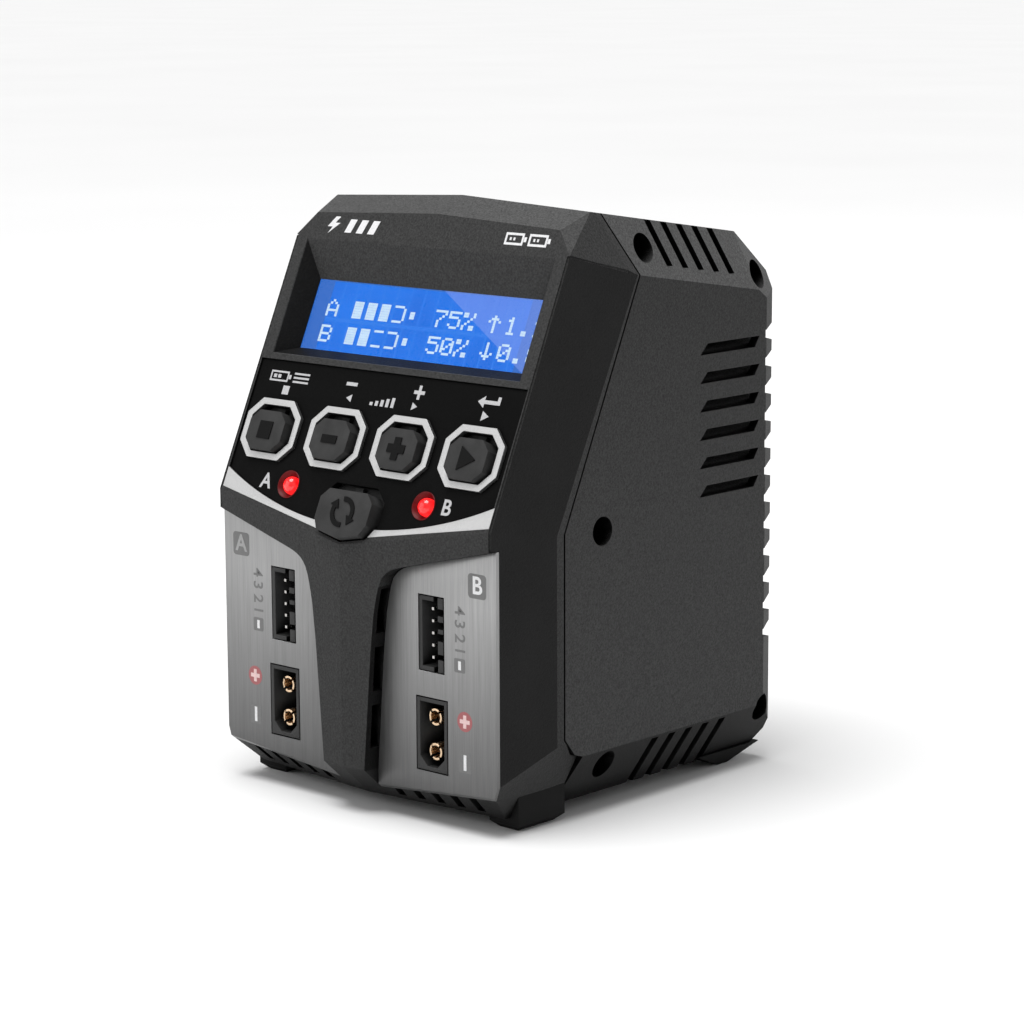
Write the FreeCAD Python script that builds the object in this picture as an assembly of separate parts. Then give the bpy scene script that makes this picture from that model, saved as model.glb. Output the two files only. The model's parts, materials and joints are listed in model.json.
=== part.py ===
import FreeCAD, Part
import math
import os

# Twin-channel balance charger. Millimetres, +X right, +Y back, +Z up, front at -Y.
# While it is built, y = 0 is the lower front corner of the case and z = 0 the table; every piece is
# moved to a frame centred between the frontmost point and the rear face when it is written.

V = FreeCAD.Vector
os.makedirs("parts", exist_ok=True)

# ---- driving dimensions ------------------------------------------------------------------------
HALF_WIDTH = 41.0          # side walls
FRONT_HALF = 39.16         # slanted face and prow, before the cheeks
RIDGE_Y = -3.1             # prow ridge, in front of the corner line
REAR_Y = 89.5
BASE_Z = 2.8               # underside of the case, above the table
FACE_LOW_Z = 63.0          # where the slanted face starts at the corners
FACE_TOP = V(38.96, 23.65, 115.2)
WALL = 2.0
SEAM_GAP = 0.45            # shadow line between the shells
CLEAR = 0.05               # running clearance
CHANNEL_TIP_V, CHANNEL_PROUD = -6.6, 1.7     # lowest point of the channel button, and how far it stands out

FACE_LOW = V(FRONT_HALF, 0, FACE_LOW_Z)
SLANT = math.degrees(math.atan2(FACE_TOP.z - FACE_LOW_Z, FACE_TOP.y))
UP_Y, OUT_Y = math.cos(math.radians(SLANT)), -math.sin(math.radians(SLANT))
FRONT_Y = CHANNEL_TIP_V * UP_Y + CHANNEL_PROUD * OUT_Y       # frontmost point of the whole charger
Y_MIDDLE = (FRONT_Y + REAR_Y) / 2
BODY_MIDDLE = V(0, 45, 60)

PLATE_Y = 1.33             # front of the brushed plates
PLATE_THICK = 0.8
SLAB_BACK_Y = 4.2          # back of the wall behind the plates
LABEL_DEPTH = 0.8          # step that takes the label and the trim

BUTTON_V = 14.14           # button row, measured up the slanted face
BUTTON_X = {"stop": -28.9, "dec": -9.66, "inc": 9.66, "start": 28.9}

SOCKET_X = 21.5            # socket column on each plate
BALANCE_Z = 39.97
POWER_Z = 19.07

# ---- helpers -----------------------------------------------------------------------------------


def box(x0, x1, y0, y1, z0, z1):
    return Part.makeBox(x1 - x0, y1 - y0, z1 - z0, V(x0, y0, z0))


def cylinder(radius, start, end):
    axis = end.sub(start)
    return Part.makeCylinder(radius, axis.Length, start, axis)


def prism(points, direction):
    """Solid from a flat outline, pushed along a direction."""
    outline = Part.makePolygon(points + [points[0]])
    return Part.Face(outline).extrude(direction)


def mirror_x(shape):
    return shape.mirror(V(0, 0, 0), V(1, 0, 0))


def both_sides(shape):
    return [shape, mirror_x(shape)]


def join(shapes):
    return shapes[0].multiFuse(shapes[1:]).removeSplitter()


def trim(shape, cutters):
    return shape.cut(Part.makeCompound(cutters))


def onto_face(shape):
    """Moves a shape drawn as (x, distance up the face, distance out of it) onto the slanted face."""
    placed = shape.copy()
    placed.rotate(V(0, 0, 0), V(1, 0, 0), SLANT)
    placed.translate(V(0, 0, FACE_LOW_Z))
    return placed


def octagon(width, height, corner, low, high, x=0.0, v=0.0):
    """Octagonal block on the slanted face, with 45-degree corners."""
    w, h = width / 2, height / 2
    outline = [(w, h - corner), (w - corner, h), (corner - w, h), (-w, h - corner),
               (-w, corner - h), (corner - w, -h), (w - corner, -h), (w, corner - h)]
    return onto_face(prism([V(x + p, v + q, low) for p, q in outline], V(0, 0, high - low)))


def only_solid(shape):
    """The largest solid of a result, without slivers."""
    return max(shape.Solids, key=lambda solid: solid.Volume)


def write(name, shape):
    placed = shape.copy()
    placed.translate(V(0, -Y_MIDDLE, 0))
    placed.exportStep("parts/" + name + ".step")
    solids = placed.Solids
    volume = sum(solid.Volume for solid in solids)
    print(name, len(solids), "solid(s)", round(volume, 1), "mm3", placed.isValid())


# ---- outer form: a faceted body, cut from a block by flat planes -------------------------------

CHEEK_LOW = V(HALF_WIDTH, 17.4, 59.9)
TOP_FRONT = V(36.1, 33.2, 123.2)
TOP_FRONT_MIDDLE = V(0, 35.0, 124.7)
CORNER_BACK = V(40.85, 39.6, 110.95)     # where the corner facet and the cheek run out, just before the seam
TOP_REAR = V(36.1, 79.5, 116.2)
REAR_CORNER = V(HALF_WIDTH, 84.7, 60)
FOOT_CORNER = V(36.5, 10.0, BASE_Z)
SIDE_FOOT = V(HALF_WIDTH, 60, 13.3)

RIGHT_PLANES = [
    [V(HALF_WIDTH, 0, 0), V(HALF_WIDTH, 50, 0), V(HALF_WIDTH, 0, 50)],
    [V(0, RIDGE_Y, 0), V(0, RIDGE_Y, 50), V(FRONT_HALF, 0, 0)],
    [V(FRONT_HALF, 0, 0), V(FRONT_HALF, 0, 50), V(HALF_WIDTH, 17.4, 0)],
    [FACE_LOW, FACE_TOP, CHEEK_LOW],
    [V(0, 26.46, 121.4), V(34.6, 25.83, 120.0), TOP_FRONT],
    [TOP_FRONT_MIDDLE, TOP_FRONT, TOP_REAR],
    [V(34.6, 25.83, 120.0), TOP_FRONT, FACE_TOP],
    [FACE_TOP, TOP_FRONT, CORNER_BACK],
    [V(HALF_WIDTH, 42.6, 110.1), V(HALF_WIDTH, 82, 103.9), TOP_REAR],
    [V(HALF_WIDTH, 82, 103.9), V(HALF_WIDTH, 85, 101.8), V(36.1, 80.5, 115.3)],
    [V(38.7, REAR_Y, 0), V(38.7, REAR_Y, 50), REAR_CORNER],
    [SIDE_FOOT, V(HALF_WIDTH, 70, 13.3), V(35.5, 60, BASE_Z)],
    [V(38.5, 1.33, 8.93), V(0, -2.45, 9.1), V(34.4, 7.7, BASE_Z)],
]
FRONT_CORNER_PLANES = [
    [V(39.7, 1.3, 12.15), V(HALF_WIDTH, 17.1, 16.65), FOOT_CORNER],
    [FOOT_CORNER, V(HALF_WIDTH, 22, 14), V(36.1, 21.5, BASE_Z)],
]
MIDDLE_PLANES = [
    [V(0, 0, BASE_Z), V(50, 0, BASE_Z), V(0, 50, BASE_Z)],
    [V(0, REAR_Y, 0), V(50, REAR_Y, 0), V(0, REAR_Y, 50)],
    [V(0, 0, FACE_LOW_Z), V(50, 0, FACE_LOW_Z), V(0, FACE_TOP.y, FACE_TOP.z)],
    [V(0, 79.5, 116.2), V(50, 79.5, 116.2), V(0, 89.9, 106.95)],
    [V(0, REAR_Y, 6.5), V(50, REAR_Y, 6.5), V(0, 86.0, BASE_Z)],
]

# seam between the front shell and the body shells, seen from the side
SEAM = [(21.5, -5), (21.5, BASE_Z), (24.7, 13.3), (22.3, 14.1), (19.4, 17.7), (19.45, 60.0),
        (42.6, 110.1), (36.0, 122.6), (36.0, 140)]


def front_zone(shift):
    """Everything in front of the seam, moved back by a shift."""
    outline = [V(-60, y + shift, z) for y, z in SEAM]
    outline += [V(-60, -30, 140), V(-60, -30, -5)]
    return prism(outline, V(120, 0, 0))


LIP_REACH = 2.5
LIP_THICK = 1.0


def both_hands(planes):
    return planes + [[V(-p.x, p.y, p.z) for p in plane] for plane in planes]


def outside_of(plane, inset):
    """Block that lies outside one facet, once the facet has moved in by a distance."""
    a, b, c = plane
    normal = b.sub(a).cross(c.sub(a)).normalize()
    if normal.dot(a.sub(BODY_MIDDLE)) < 0:
        normal = normal.negative()
    outside = Part.makeBox(400, 400, 200, V(-200, -200, 0))
    outside.Placement = FreeCAD.Placement(a.sub(normal * inset), FreeCAD.Rotation(V(0, 0, 1), normal))
    return outside


def faceted_body(inset):
    """The outer form with every facet moved in; the lower front corners are cut on the front shell only."""
    body = box(-60, 60, -20, 110, -10, 140)
    for plane in both_hands(RIGHT_PLANES) + MIDDLE_PLANES:
        body = body.cut(outside_of(plane, inset))
    corner_zone = front_zone(LIP_REACH + 0.7 if inset > 0 else 0)
    for plane in both_hands(FRONT_CORNER_PLANES):
        body = body.cut(outside_of(plane, inset).common(corner_zone))
    return body


OUTER = faceted_body(0)
INNER = faceted_body(WALL)


def shell_lip():
    """Tongue of the front shell that slides inside the body shells."""
    root = faceted_body(WALL - 0.4).common(front_zone(-0.1)).cut(front_zone(-LIP_REACH))
    tongue = faceted_body(WALL + CLEAR).common(front_zone(LIP_REACH)).cut(front_zone(-1.0))
    hollow = faceted_body(WALL + CLEAR + LIP_THICK)
    return [root.cut(hollow), tongue.cut(hollow)]

# ---- display recess, buttons and lights in the slanted face ------------------------------------

RECESS_X, RECESS_LOW_V, RECESS_HIGH_V = 35.5, 30.74, 56.65
GLASS_X, GLASS_LOW_V, GLASS_HIGH_V = 31.9, 33.45, 48.94
GLASS_DEPTH = 3.8
LENS_THICK = 1.0
LIGHT_X, LIGHT_V = 19.5, 3.2
LABEL_HALF, LABEL_TOP_V = 38.0, 29.2
ARC_CENTRE_V, ARC_RADIUS = 85.6, 89.2      # lower edge of the label


def rectangle_wire(half_x, low_v, high_v, depth):
    corners = [(-half_x, low_v), (half_x, low_v), (half_x, high_v), (-half_x, high_v), (-half_x, low_v)]
    return Part.makePolygon([V(x, v, depth) for x, v in corners])


def display_funnel():
    """Sloping walls from the face down to the glass."""
    mouth = rectangle_wire(RECESS_X, RECESS_LOW_V, RECESS_HIGH_V, 0.01)
    floor = rectangle_wire(GLASS_X, GLASS_LOW_V, GLASS_HIGH_V, -GLASS_DEPTH)
    funnel = Part.makeLoft([floor, mouth], True, True)
    window = box(-GLASS_X, GLASS_X, GLASS_LOW_V, GLASS_HIGH_V, -8, -GLASS_DEPTH + 0.01)
    return onto_face(funnel.fuse(window))


def face_block(half_x, low_v, high_v, low, high):
    return onto_face(box(-half_x, half_x, low_v, high_v, low, high))


# right-hand half of the channel button at the foot of the slanted face, and of the hole it sits in
CHANNEL_CAP = [(5.4, 3.5), (7.4, 1.5), (7.4, -3.1), (6.0, -5.4), (0, CHANNEL_TIP_V)]
CHANNEL_HOLE = [(6.0, 5.2), (8.8, 2.4), (8.8, -2.7), (6.7, -5.6), (0, -7.0)]


def channel_block(right_half, low, high):
    outline = right_half + [(-x, v) for x, v in reversed(right_half) if x > 0]
    return onto_face(prism([V(x, v, low) for x, v in outline], V(0, 0, high - low)))


def arc_cylinder(radius, low, high):
    """Cylinder square to the face whose edge is the lower edge of the label."""
    return onto_face(Part.makeCylinder(radius, high - low, V(0, ARC_CENTRE_V, low)))


def face_cylinder(radius, x, v, low, high):
    return onto_face(Part.makeCylinder(radius, high - low, V(x, v, low)))


DISH_R, DISH_FLOOR = 3.0, -2.0       # round dish that each light stands in
LIGHT_R, DOME_BASE = 1.9, -1.4
RING_W, RING_H, RING_CORNER = 16.0, 13.1, 3.4
HOLE_W, HOLE_H, HOLE_CORNER = 13.0, 10.4, 2.6

button_holes = [octagon(HOLE_W, HOLE_H, HOLE_CORNER, -6, 4, x, BUTTON_V) for x in BUTTON_X.values()]
ring_seats = [octagon(RING_W, RING_H, RING_CORNER, -LABEL_DEPTH, 4, x, BUTTON_V) for x in BUTTON_X.values()]
channel_hole = channel_block(CHANNEL_HOLE, -12, 6)
light_holes = [face_cylinder(LIGHT_R + 0.15, x, LIGHT_V, -8, 4) for x in (-LIGHT_X, LIGHT_X)]
light_dishes = [face_cylinder(DISH_R, x, LIGHT_V, DISH_FLOOR, 4) for x in (-LIGHT_X, LIGHT_X)]
light_bosses = [face_cylinder(DISH_R + 1.2, x, LIGHT_V, DISH_FLOOR - 2.0, -1.0) for x in (-LIGHT_X, LIGHT_X)]

# ---- plate pockets in the front ----------------------------------------------------------------

PLATE_TOP_Z = 58.95         # top of the plates at the outer corners
POCKET_EDGE = [(45, PLATE_TOP_Z + 1.45), (16.2, 53.3), (14.8, 52.9), (13.6, 52.45), (12.5, 51.8),
               (11.6, 51.0), (10.9, 50.0), (10.3, 48.6), (9.7, 46.5), (8.95, 43.0), (8.0, 35.0),
               (5.9, 9.5), (5.9, -2), (45, -2)]


def plate_region(front_y, back_y, inset=0.0):
    outline = [V(x + (inset if x < 40 else 0), front_y, z - (inset if z > 50 else 0)) for x, z in POCKET_EDGE]
    return prism(outline, V(0, back_y - front_y, 0))


BALANCE_W, BALANCE_H = 7.2, 15.8
POWER_W, POWER_H = 8.9, 15.5


def socket_block(x, z, width, height, front_y, back_y):
    return box(x - width / 2, x + width / 2, front_y, back_y, z - height / 2, z + height / 2)


def socket_holes(side):
    x = side * SOCKET_X
    return [socket_block(x, BALANCE_Z, BALANCE_W, BALANCE_H, -5, 8),
            socket_block(x, POWER_Z, POWER_W, POWER_H, -5, 8)]


NOSE_VENT_DEPTH = 5.5


def nose_vents():
    """Three upright slots in each side wall of the nose, next to the plates."""
    slots = []
    for low, high, side_x in [(38.5, 48.0, 9.3), (26.2, 35.6, 8.0), (14.1, 23.3, 6.9)]:
        mouth = box(side_x - NOSE_VENT_DEPTH, side_x + 3.0, -1.2, PLATE_Y, low, high)
        back = box(side_x - NOSE_VENT_DEPTH, side_x - 1.2, 0, SLAB_BACK_Y - 0.8, low, high)
        slots += both_sides(mouth) + both_sides(back)
    return slots


def chin_vents():
    """Five leaning slots on each side of the chamfer under the front."""
    slots = []
    for number in range(5):
        x = 8.5 + 5.1 * number
        outline = [V(x, -4, 0), V(x + 2.0, -4, 0), V(x + 5.2, -4, 14), V(x + 3.2, -4, 14)]
        slot = prism(outline, V(0, 12.5, 0)).common(box(0, 60, -4, 8, 4.0, 7.6))
        slots += both_sides(slot)
    return slots


# ---- boards behind the front, and what they are screwed to --------------------------------------

CONTROL_FRONT, CONTROL_BACK = -10.0, -11.6        # control board, measured out of the slanted face
CONTROL_FIXINGS = [(x, v) for x in (-32.8, 32.8) for v in (1.5, 25.0)]
OUTPUT_FRONT_Y, OUTPUT_BACK_Y = 13.0, 14.6
OUTPUT_FIXINGS = [(x, z) for x in (-31.5, 31.5) for z in (13.5, 49.0)]
SMALL_BOSS_R = 2.6
SMALL_SCREW_R = 1.1
SMALL_HEAD_R = 2.1


def control_bosses():
    return [face_cylinder(SMALL_BOSS_R, x, v, CONTROL_FRONT + CLEAR, -1.5) for x, v in CONTROL_FIXINGS]


def output_bosses():
    return [cylinder(SMALL_BOSS_R, V(x, 3.5, z), V(x, OUTPUT_FRONT_Y - CLEAR, z)) for x, z in OUTPUT_FIXINGS]


def control_screw_bores():
    return [face_cylinder(SMALL_SCREW_R + CLEAR, x, v, CONTROL_FRONT - 2, -3.8) for x, v in CONTROL_FIXINGS]


def output_screw_bores():
    return [cylinder(SMALL_SCREW_R + CLEAR, V(x, 5.5, z), V(x, OUTPUT_BACK_Y + 1, z))
            for x, z in OUTPUT_FIXINGS]


# ---- front shell -------------------------------------------------------------------------------

def front_shell():
    shell = OUTER.cut(INNER).common(front_zone(0))
    slab = OUTER.common(box(-60, 60, -20, SLAB_BACK_Y, 8.0, 58))
    funnel_walls = face_block(RECESS_X + 1.2, RECESS_LOW_V - 1.2, RECESS_HIGH_V + 0.4, -5.4, -1.0)
    fixings = control_bosses() + output_bosses() + light_bosses
    body = join([shell, slab, funnel_walls.common(OUTER)] + shell_lip() + fixings)
    label_seat = face_block(LABEL_HALF + 0.2, -12, LABEL_TOP_V + 0.2, -LABEL_DEPTH, 4)
    label_seat = label_seat.common(arc_cylinder(ARC_RADIUS + CLEAR, -2, 5))
    trim_seat = face_block(LABEL_HALF + 0.5, -12, 6, -LABEL_DEPTH, 4)
    trim_seat = trim_seat.cut(arc_cylinder(ARC_RADIUS + CLEAR, -2, 5)).cut(trim_foot(0))
    glass_seat = face_block(GLASS_X + 1.1, GLASS_LOW_V - 1.1, GLASS_HIGH_V + 1.1, -8, -GLASS_DEPTH)
    cutters = [display_funnel(), glass_seat, label_seat, trim_seat, channel_hole]
    cutters += button_holes + light_holes + light_dishes
    pocket = plate_region(-20, PLATE_Y + PLATE_THICK + CLEAR)
    cutters += both_sides(pocket) + socket_holes(1) + socket_holes(-1) + nose_vents() + chin_vents()
    for groove in edge_grooves():
        cutters += both_sides(groove)
    cutters += control_screw_bores() + output_screw_bores()
    return only_solid(trim(body, cutters))


TRIM_LIP_MIDDLE_V, TRIM_LIP_END_V = -6.47, 0.8     # lower edge of the trim, on the ridge and at the cheeks


def trim_foot(lift):
    """Zone below the trim: a lip of the case left along the prow edge."""
    feet = []
    for side in (-1, 1):
        end_x = side * (FRONT_HALF + 0.34)
        outline = [V(0, -14, -3), V(0, TRIM_LIP_MIDDLE_V + lift, -3),
                   V(end_x, TRIM_LIP_END_V + lift, -3), V(end_x, -14, -3)]
        feet.append(onto_face(prism(outline, V(0, 0, 8))))
    return Part.makeCompound(feet)


GROOVE_R, GROOVE_INSET = 0.3, 0.25
FINE_GROOVE_R = 0.2


def edge_grooves():
    """Shadow grooves round the cheek: down the slanted face, on to the plate, and along the top."""
    corner = V(FRONT_HALF - GROOVE_INSET, 0, FACE_LOW_Z)
    top = V(FACE_TOP.x - GROOVE_INSET, FACE_TOP.y, FACE_TOP.z)
    return [cylinder(GROOVE_R, corner, top), cylinder(GROOVE_R, V(corner.x, 0, PLATE_TOP_Z), corner),
            cylinder(FINE_GROOVE_R, FACE_TOP, CORNER_BACK)]


# ---- body shells -------------------------------------------------------------------------------

BOSS_R, SCREW_WELL_BOSS_R = 3.4, 3.9
SCREW_R = 1.25
SCREW_HEAD_R = 2.6
SCREW_WELL_R = 3.0
SCREW_HEAD_X = 8.0          # bottom of each deep screw well, from the middle
CASE_SCREWS = [(31.3, 59.1), (46.6, 115.2), (83.6, 107.0), (33.8, 9.7), (85.2, 12.4)]      # y, z
SCREW_REACH = 7.0

FAN_SIZE = 60.0
FAN_Z = 61.0
FAN_FRONT_Y, FAN_BACK_Y = 68.0, 83.0
FAN_HOLE = 25.0            # half pitch of the fan's fixing holes

BOARD_Z, BOARD_THICK = 14.5, 1.6
BOARD_FRONT_Y, BOARD_BACK_Y, BOARD_HALF = 17.0, 76.0, 34.0
BOARD_FIXINGS = [(x, y) for x in (-30.0, 30.0) for y in (30.2, 66.0)]
BOARD_BOSS_R = 2.8

INLET_X, INLET_Z = -18.0, 21.5
INLET_W, INLET_H = 20.5, 11.0


SIDE_VENT_LOWS = [61.8 + 6.0 * number for number in range(6)]
SIDE_VENT_H = 2.3


def side_vents():
    """Six leaning slots, one above the other, in each side wall."""
    slots = []
    inside = HALF_WIDTH - WALL - 0.1
    for low in SIDE_VENT_LOWS:
        outline = [V(inside, 62.4, low), V(inside, 80.7, low),
                   V(inside, 82.3, low + SIDE_VENT_H), V(inside, 64.8, low + SIDE_VENT_H)]
        slots += both_sides(prism(outline, V(10, 0, 0)))
    return slots


def louvres():
    """Sloping blades behind the side slots, which keep the inside out of sight."""
    blades = []
    wall_x, tip_x = HALF_WIDTH - WALL + 0.5, HALF_WIDTH - 6.0
    for low in SIDE_VENT_LOWS:
        outline = [V(wall_x, 61.0, low - 0.8), V(wall_x, 61.0, low),
                   V(tip_x + 0.8, 61.0, low + 4.0), V(tip_x, 61.0, low + 3.6)]
        blades += both_sides(prism(outline, V(0, 22.0, 0)))
    return blades


def top_vents():
    """Five slots that run down each top chamfer, leaning back."""
    slots = []
    for number in range(5):
        y = 49.3 + 5.1 * number
        drop = 0.154 * 5.1 * number
        outline = [V(30, y, 121.5 - drop), V(30, y + 1.9, 121.5 - drop),
                   V(30, y + 5.3, 111.0 - drop), V(30, y + 3.4, 111.0 - drop)]
        slots += both_sides(prism(outline, V(15, 0, 0)).common(box(35.2, 60, 0, 100, 0, 140)))
    return slots


def bottom_vents():
    """Five slots down each bottom chamfer, leaning forward."""
    slots = []
    for number in range(5):
        y = 47.5 + 5.6 * number
        outline = [V(30, y, 12.7), V(30, y + 2.2, 12.7), V(30, y - 0.2, 2.4), V(30, y - 2.4, 2.4)]
        slots += both_sides(prism(outline, V(15, 0, 0)).common(box(33.6, 60, 0, 100, 0, 20)))
    return slots


def rear_vents():
    """Twelve level slots across the back, out through both corner chamfers."""
    slots = []
    for number in range(12):
        z = 94.3 - 5.92 * number
        outline = [V(2.5, REAR_Y - 5.1, z - 0.8), V(2.5, REAR_Y - 5.1, z + 0.8),
                   V(2.5, REAR_Y + 1, z + 2.0), V(2.5, REAR_Y + 1, z - 2.0)]
        slots += both_sides(prism(outline, V(60, 0, 0)))
    return slots


def fan_places():
    return [(x, FAN_Z + z) for x in (-FAN_HOLE, FAN_HOLE) for z in (-FAN_HOLE, FAN_HOLE)]


def fan_bosses():
    return [cylinder(3.2, V(x, FAN_BACK_Y + CLEAR, z), V(x, REAR_Y - 1.0, z)) for x, z in fan_places()]


def board_bosses():
    return [cylinder(BOARD_BOSS_R, V(x, y, BASE_Z + 1.0), V(x, y, BOARD_Z - CLEAR)) for x, y in BOARD_FIXINGS]


def boss_bores():
    fan = [cylinder(SCREW_R + CLEAR, V(x, FAN_BACK_Y - 1, z), V(x, REAR_Y - 1.6, z)) for x, z in fan_places()]
    board = [cylinder(SCREW_R + CLEAR, V(x, y, BASE_Z + 1.6), V(x, y, BOARD_Z + 1)) for x, y in BOARD_FIXINGS]
    return fan + board


def inlet_hole():
    return box(INLET_X - INLET_W / 2, INLET_X + INLET_W / 2, REAR_Y - 4, REAR_Y + 2,
               INLET_Z - INLET_H / 2, INLET_Z + INLET_H / 2)


def body_shells():
    shell = OUTER.cut(INNER).cut(front_zone(SEAM_GAP))
    bosses = fan_bosses() + board_bosses()
    boss_limit = faceted_body(0.8).cut(front_zone(LIP_REACH + 0.2))
    for y, z in CASE_SCREWS:
        bosses.append(cylinder(BOSS_R, V(-HALF_WIDTH, y, z), V(0, y, z)).common(boss_limit))
        bosses.append(cylinder(SCREW_WELL_BOSS_R, V(0, y, z), V(HALF_WIDTH, y, z)).common(boss_limit))
    body = join([shell] + bosses + louvres())
    cutters = side_vents() + top_vents() + bottom_vents() + rear_vents() + boss_bores() + [inlet_hole()]
    for y, z in CASE_SCREWS:
        cutters.append(cylinder(SCREW_WELL_R, V(SCREW_HEAD_X, y, z), V(HALF_WIDTH + 5, y, z)))
        cutters.append(cylinder(SCREW_R + CLEAR, V(-10, y, z), V(SCREW_HEAD_X + 1, y, z)))
    body = trim(body, cutters)
    half_gap = 0.04
    right = only_solid(body.common(box(half_gap, 60, -20, 110, -10, 140)))
    left = only_solid(body.common(box(-60, -half_gap, -20, 110, -10, 140)))
    return right, left


# ---- label, trim, rings, buttons and lights ----------------------------------------------------

LABEL_THICK = 0.5
CAP_W, CAP_H, CAP_CORNER = 10.4, 8.5, 2.1
CAP_PROUD = 1.8
CAP_V = BUTTON_V - 0.65     # the caps sit a little low in their holes
TAB_HALF, TAB_TOP = 1.1, -1.2
FLANGE_TOP, FLANGE_BOTTOM = -2.15, -3.0
STEM_R, STEM_END = 1.5, -7.9
SWITCH_TOP = -7.4


def keypad_label():
    sheet = face_block(LABEL_HALF, -12, LABEL_TOP_V, -LABEL_DEPTH, -LABEL_DEPTH + LABEL_THICK)
    sheet = sheet.common(arc_cylinder(ARC_RADIUS, -2, 5))
    holes = [octagon(RING_W + 0.1, RING_H + 0.1, RING_CORNER, -2, 2, x, BUTTON_V) for x in BUTTON_X.values()]
    holes += light_dishes + [channel_hole]
    return only_solid(trim(sheet, holes))


def trim_strip():
    """Right-hand half of the bright line under the label."""
    strip = face_block(LABEL_HALF + 0.4, -12, 6, -LABEL_DEPTH, 0)
    strip = strip.common(box(0, 60, -20, 60, 0, 140)).cut(arc_cylinder(ARC_RADIUS + 2 * CLEAR, -2, 5))
    strip = strip.cut(trim_foot(CLEAR)).cut(channel_hole)
    return only_solid(strip.common(OUTER))


def button_ring(x):
    ring = octagon(RING_W, RING_H, RING_CORNER, -LABEL_DEPTH, 0.5, x, BUTTON_V)
    return ring.cut(octagon(HOLE_W, HOLE_H, HOLE_CORNER, -2, 2, x, BUTTON_V))


def button_tab(x, low_v, high_v):
    """Small step above each cap, down in the gap of its hole."""
    return onto_face(box(x - TAB_HALF, x + TAB_HALF, low_v, high_v, FLANGE_BOTTOM, TAB_TOP))


def push_button(x):
    cap = octagon(CAP_W, CAP_H, CAP_CORNER, FLANGE_BOTTOM, CAP_PROUD, x, CAP_V)
    tab = button_tab(x, CAP_V, BUTTON_V + HOLE_H / 2 - 0.3)
    flange = octagon(14.4, 12.0, 3.0, FLANGE_BOTTOM, FLANGE_TOP, x, BUTTON_V)
    stem = face_cylinder(STEM_R, x, BUTTON_V, STEM_END, FLANGE_BOTTOM + 0.1)
    return join([cap, tab, flange, stem])


def channel_button():
    cap = channel_block(CHANNEL_CAP, FLANGE_BOTTOM, CHANNEL_PROUD)
    tab = button_tab(0, 0, CHANNEL_HOLE[0][1] - 0.3)
    flange = face_block(9.9, -3.0, 6.4, FLANGE_BOTTOM, FLANGE_TOP)
    stem = face_cylinder(STEM_R, 0, 0.5, STEM_END, FLANGE_BOTTOM + 0.1)
    return join([cap, tab, flange, stem])


def key_switches():
    places = [(x, BUTTON_V) for x in BUTTON_X.values()] + [(0.0, 0.5)]
    switches = []
    for x, v in places:
        block = onto_face(box(x - 3, x + 3, v - 3, v + 3, CONTROL_FRONT, SWITCH_TOP))
        switches.append(block.cut(face_cylinder(STEM_R + 0.2, x, v, SWITCH_TOP - 1.6, SWITCH_TOP + 1)))
    return Part.makeCompound(switches)


def light_pipe(x):
    stick = face_cylinder(LIGHT_R, x, LIGHT_V, CONTROL_FRONT, DOME_BASE)
    dome = onto_face(Part.makeSphere(LIGHT_R, V(x, LIGHT_V, DOME_BASE)))
    return join([stick, dome])


# ---- display -----------------------------------------------------------------------------------

def display_window():
    return face_block(GLASS_X + 1, GLASS_LOW_V - 1, GLASS_HIGH_V + 1, -GLASS_DEPTH - LENS_THICK, -GLASS_DEPTH)


def display_frame():
    frame = face_block(35.4, 30.2, 52.0, CONTROL_FRONT, -5.45)
    return frame.cut(face_block(33.0, 32.3, 50.1, -12, -4))


def control_board():
    board = face_block(35.0, -2.0, 56.0, CONTROL_BACK, CONTROL_FRONT)
    return trim(board, control_screw_bores())


def control_screws():
    screws = []
    for x, v in CONTROL_FIXINGS:
        shank = face_cylinder(SMALL_SCREW_R, x, v, CONTROL_BACK - 0.2, -4.2)
        head = face_cylinder(SMALL_HEAD_R, x, v, CONTROL_BACK - 1.4, CONTROL_BACK)
        screws.append(join([shank, head]))
    return Part.makeCompound(screws)


# ---- output plates and sockets -----------------------------------------------------------------

def output_plate(side):
    plate = OUTER.common(plate_region(PLATE_Y, PLATE_Y + PLATE_THICK, 0.12))
    if side < 0:
        plate = mirror_x(plate)
    return only_solid(trim(plate, socket_holes(side)))


SOCKET_GAP = 0.25           # dark line between each socket and its plate
TIP_DEPTH = 1.0             # pins and contacts end this far inside their sockets
PIN_PITCH = 2.5
PIN_HALF = 0.28
PIN_OFFSET = -0.4
KEY_GAPS = [(3.95, 5.35), (1.25, 2.7), (-1.25, 0.3), (-5.05, -3.95)]
CONTACT_PITCH = 7.2
CONTACT_R, CONTACT_BORE_R, CONTACT_ROOT_R = 1.75, 1.3, 1.5
CONTACT_SLIT = 0.5
POWER_FLOOR_Y = PLATE_Y + 8.0


def balance_pins(side):
    x = side * SOCKET_X + PIN_OFFSET
    heights = [BALANCE_Z + PIN_PITCH * step for step in (-2, -1, 0, 1, 2)]
    return [box(x - PIN_HALF, x + PIN_HALF, PLATE_Y + TIP_DEPTH, OUTPUT_FRONT_Y, z - PIN_HALF, z + PIN_HALF)
            for z in heights]


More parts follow.
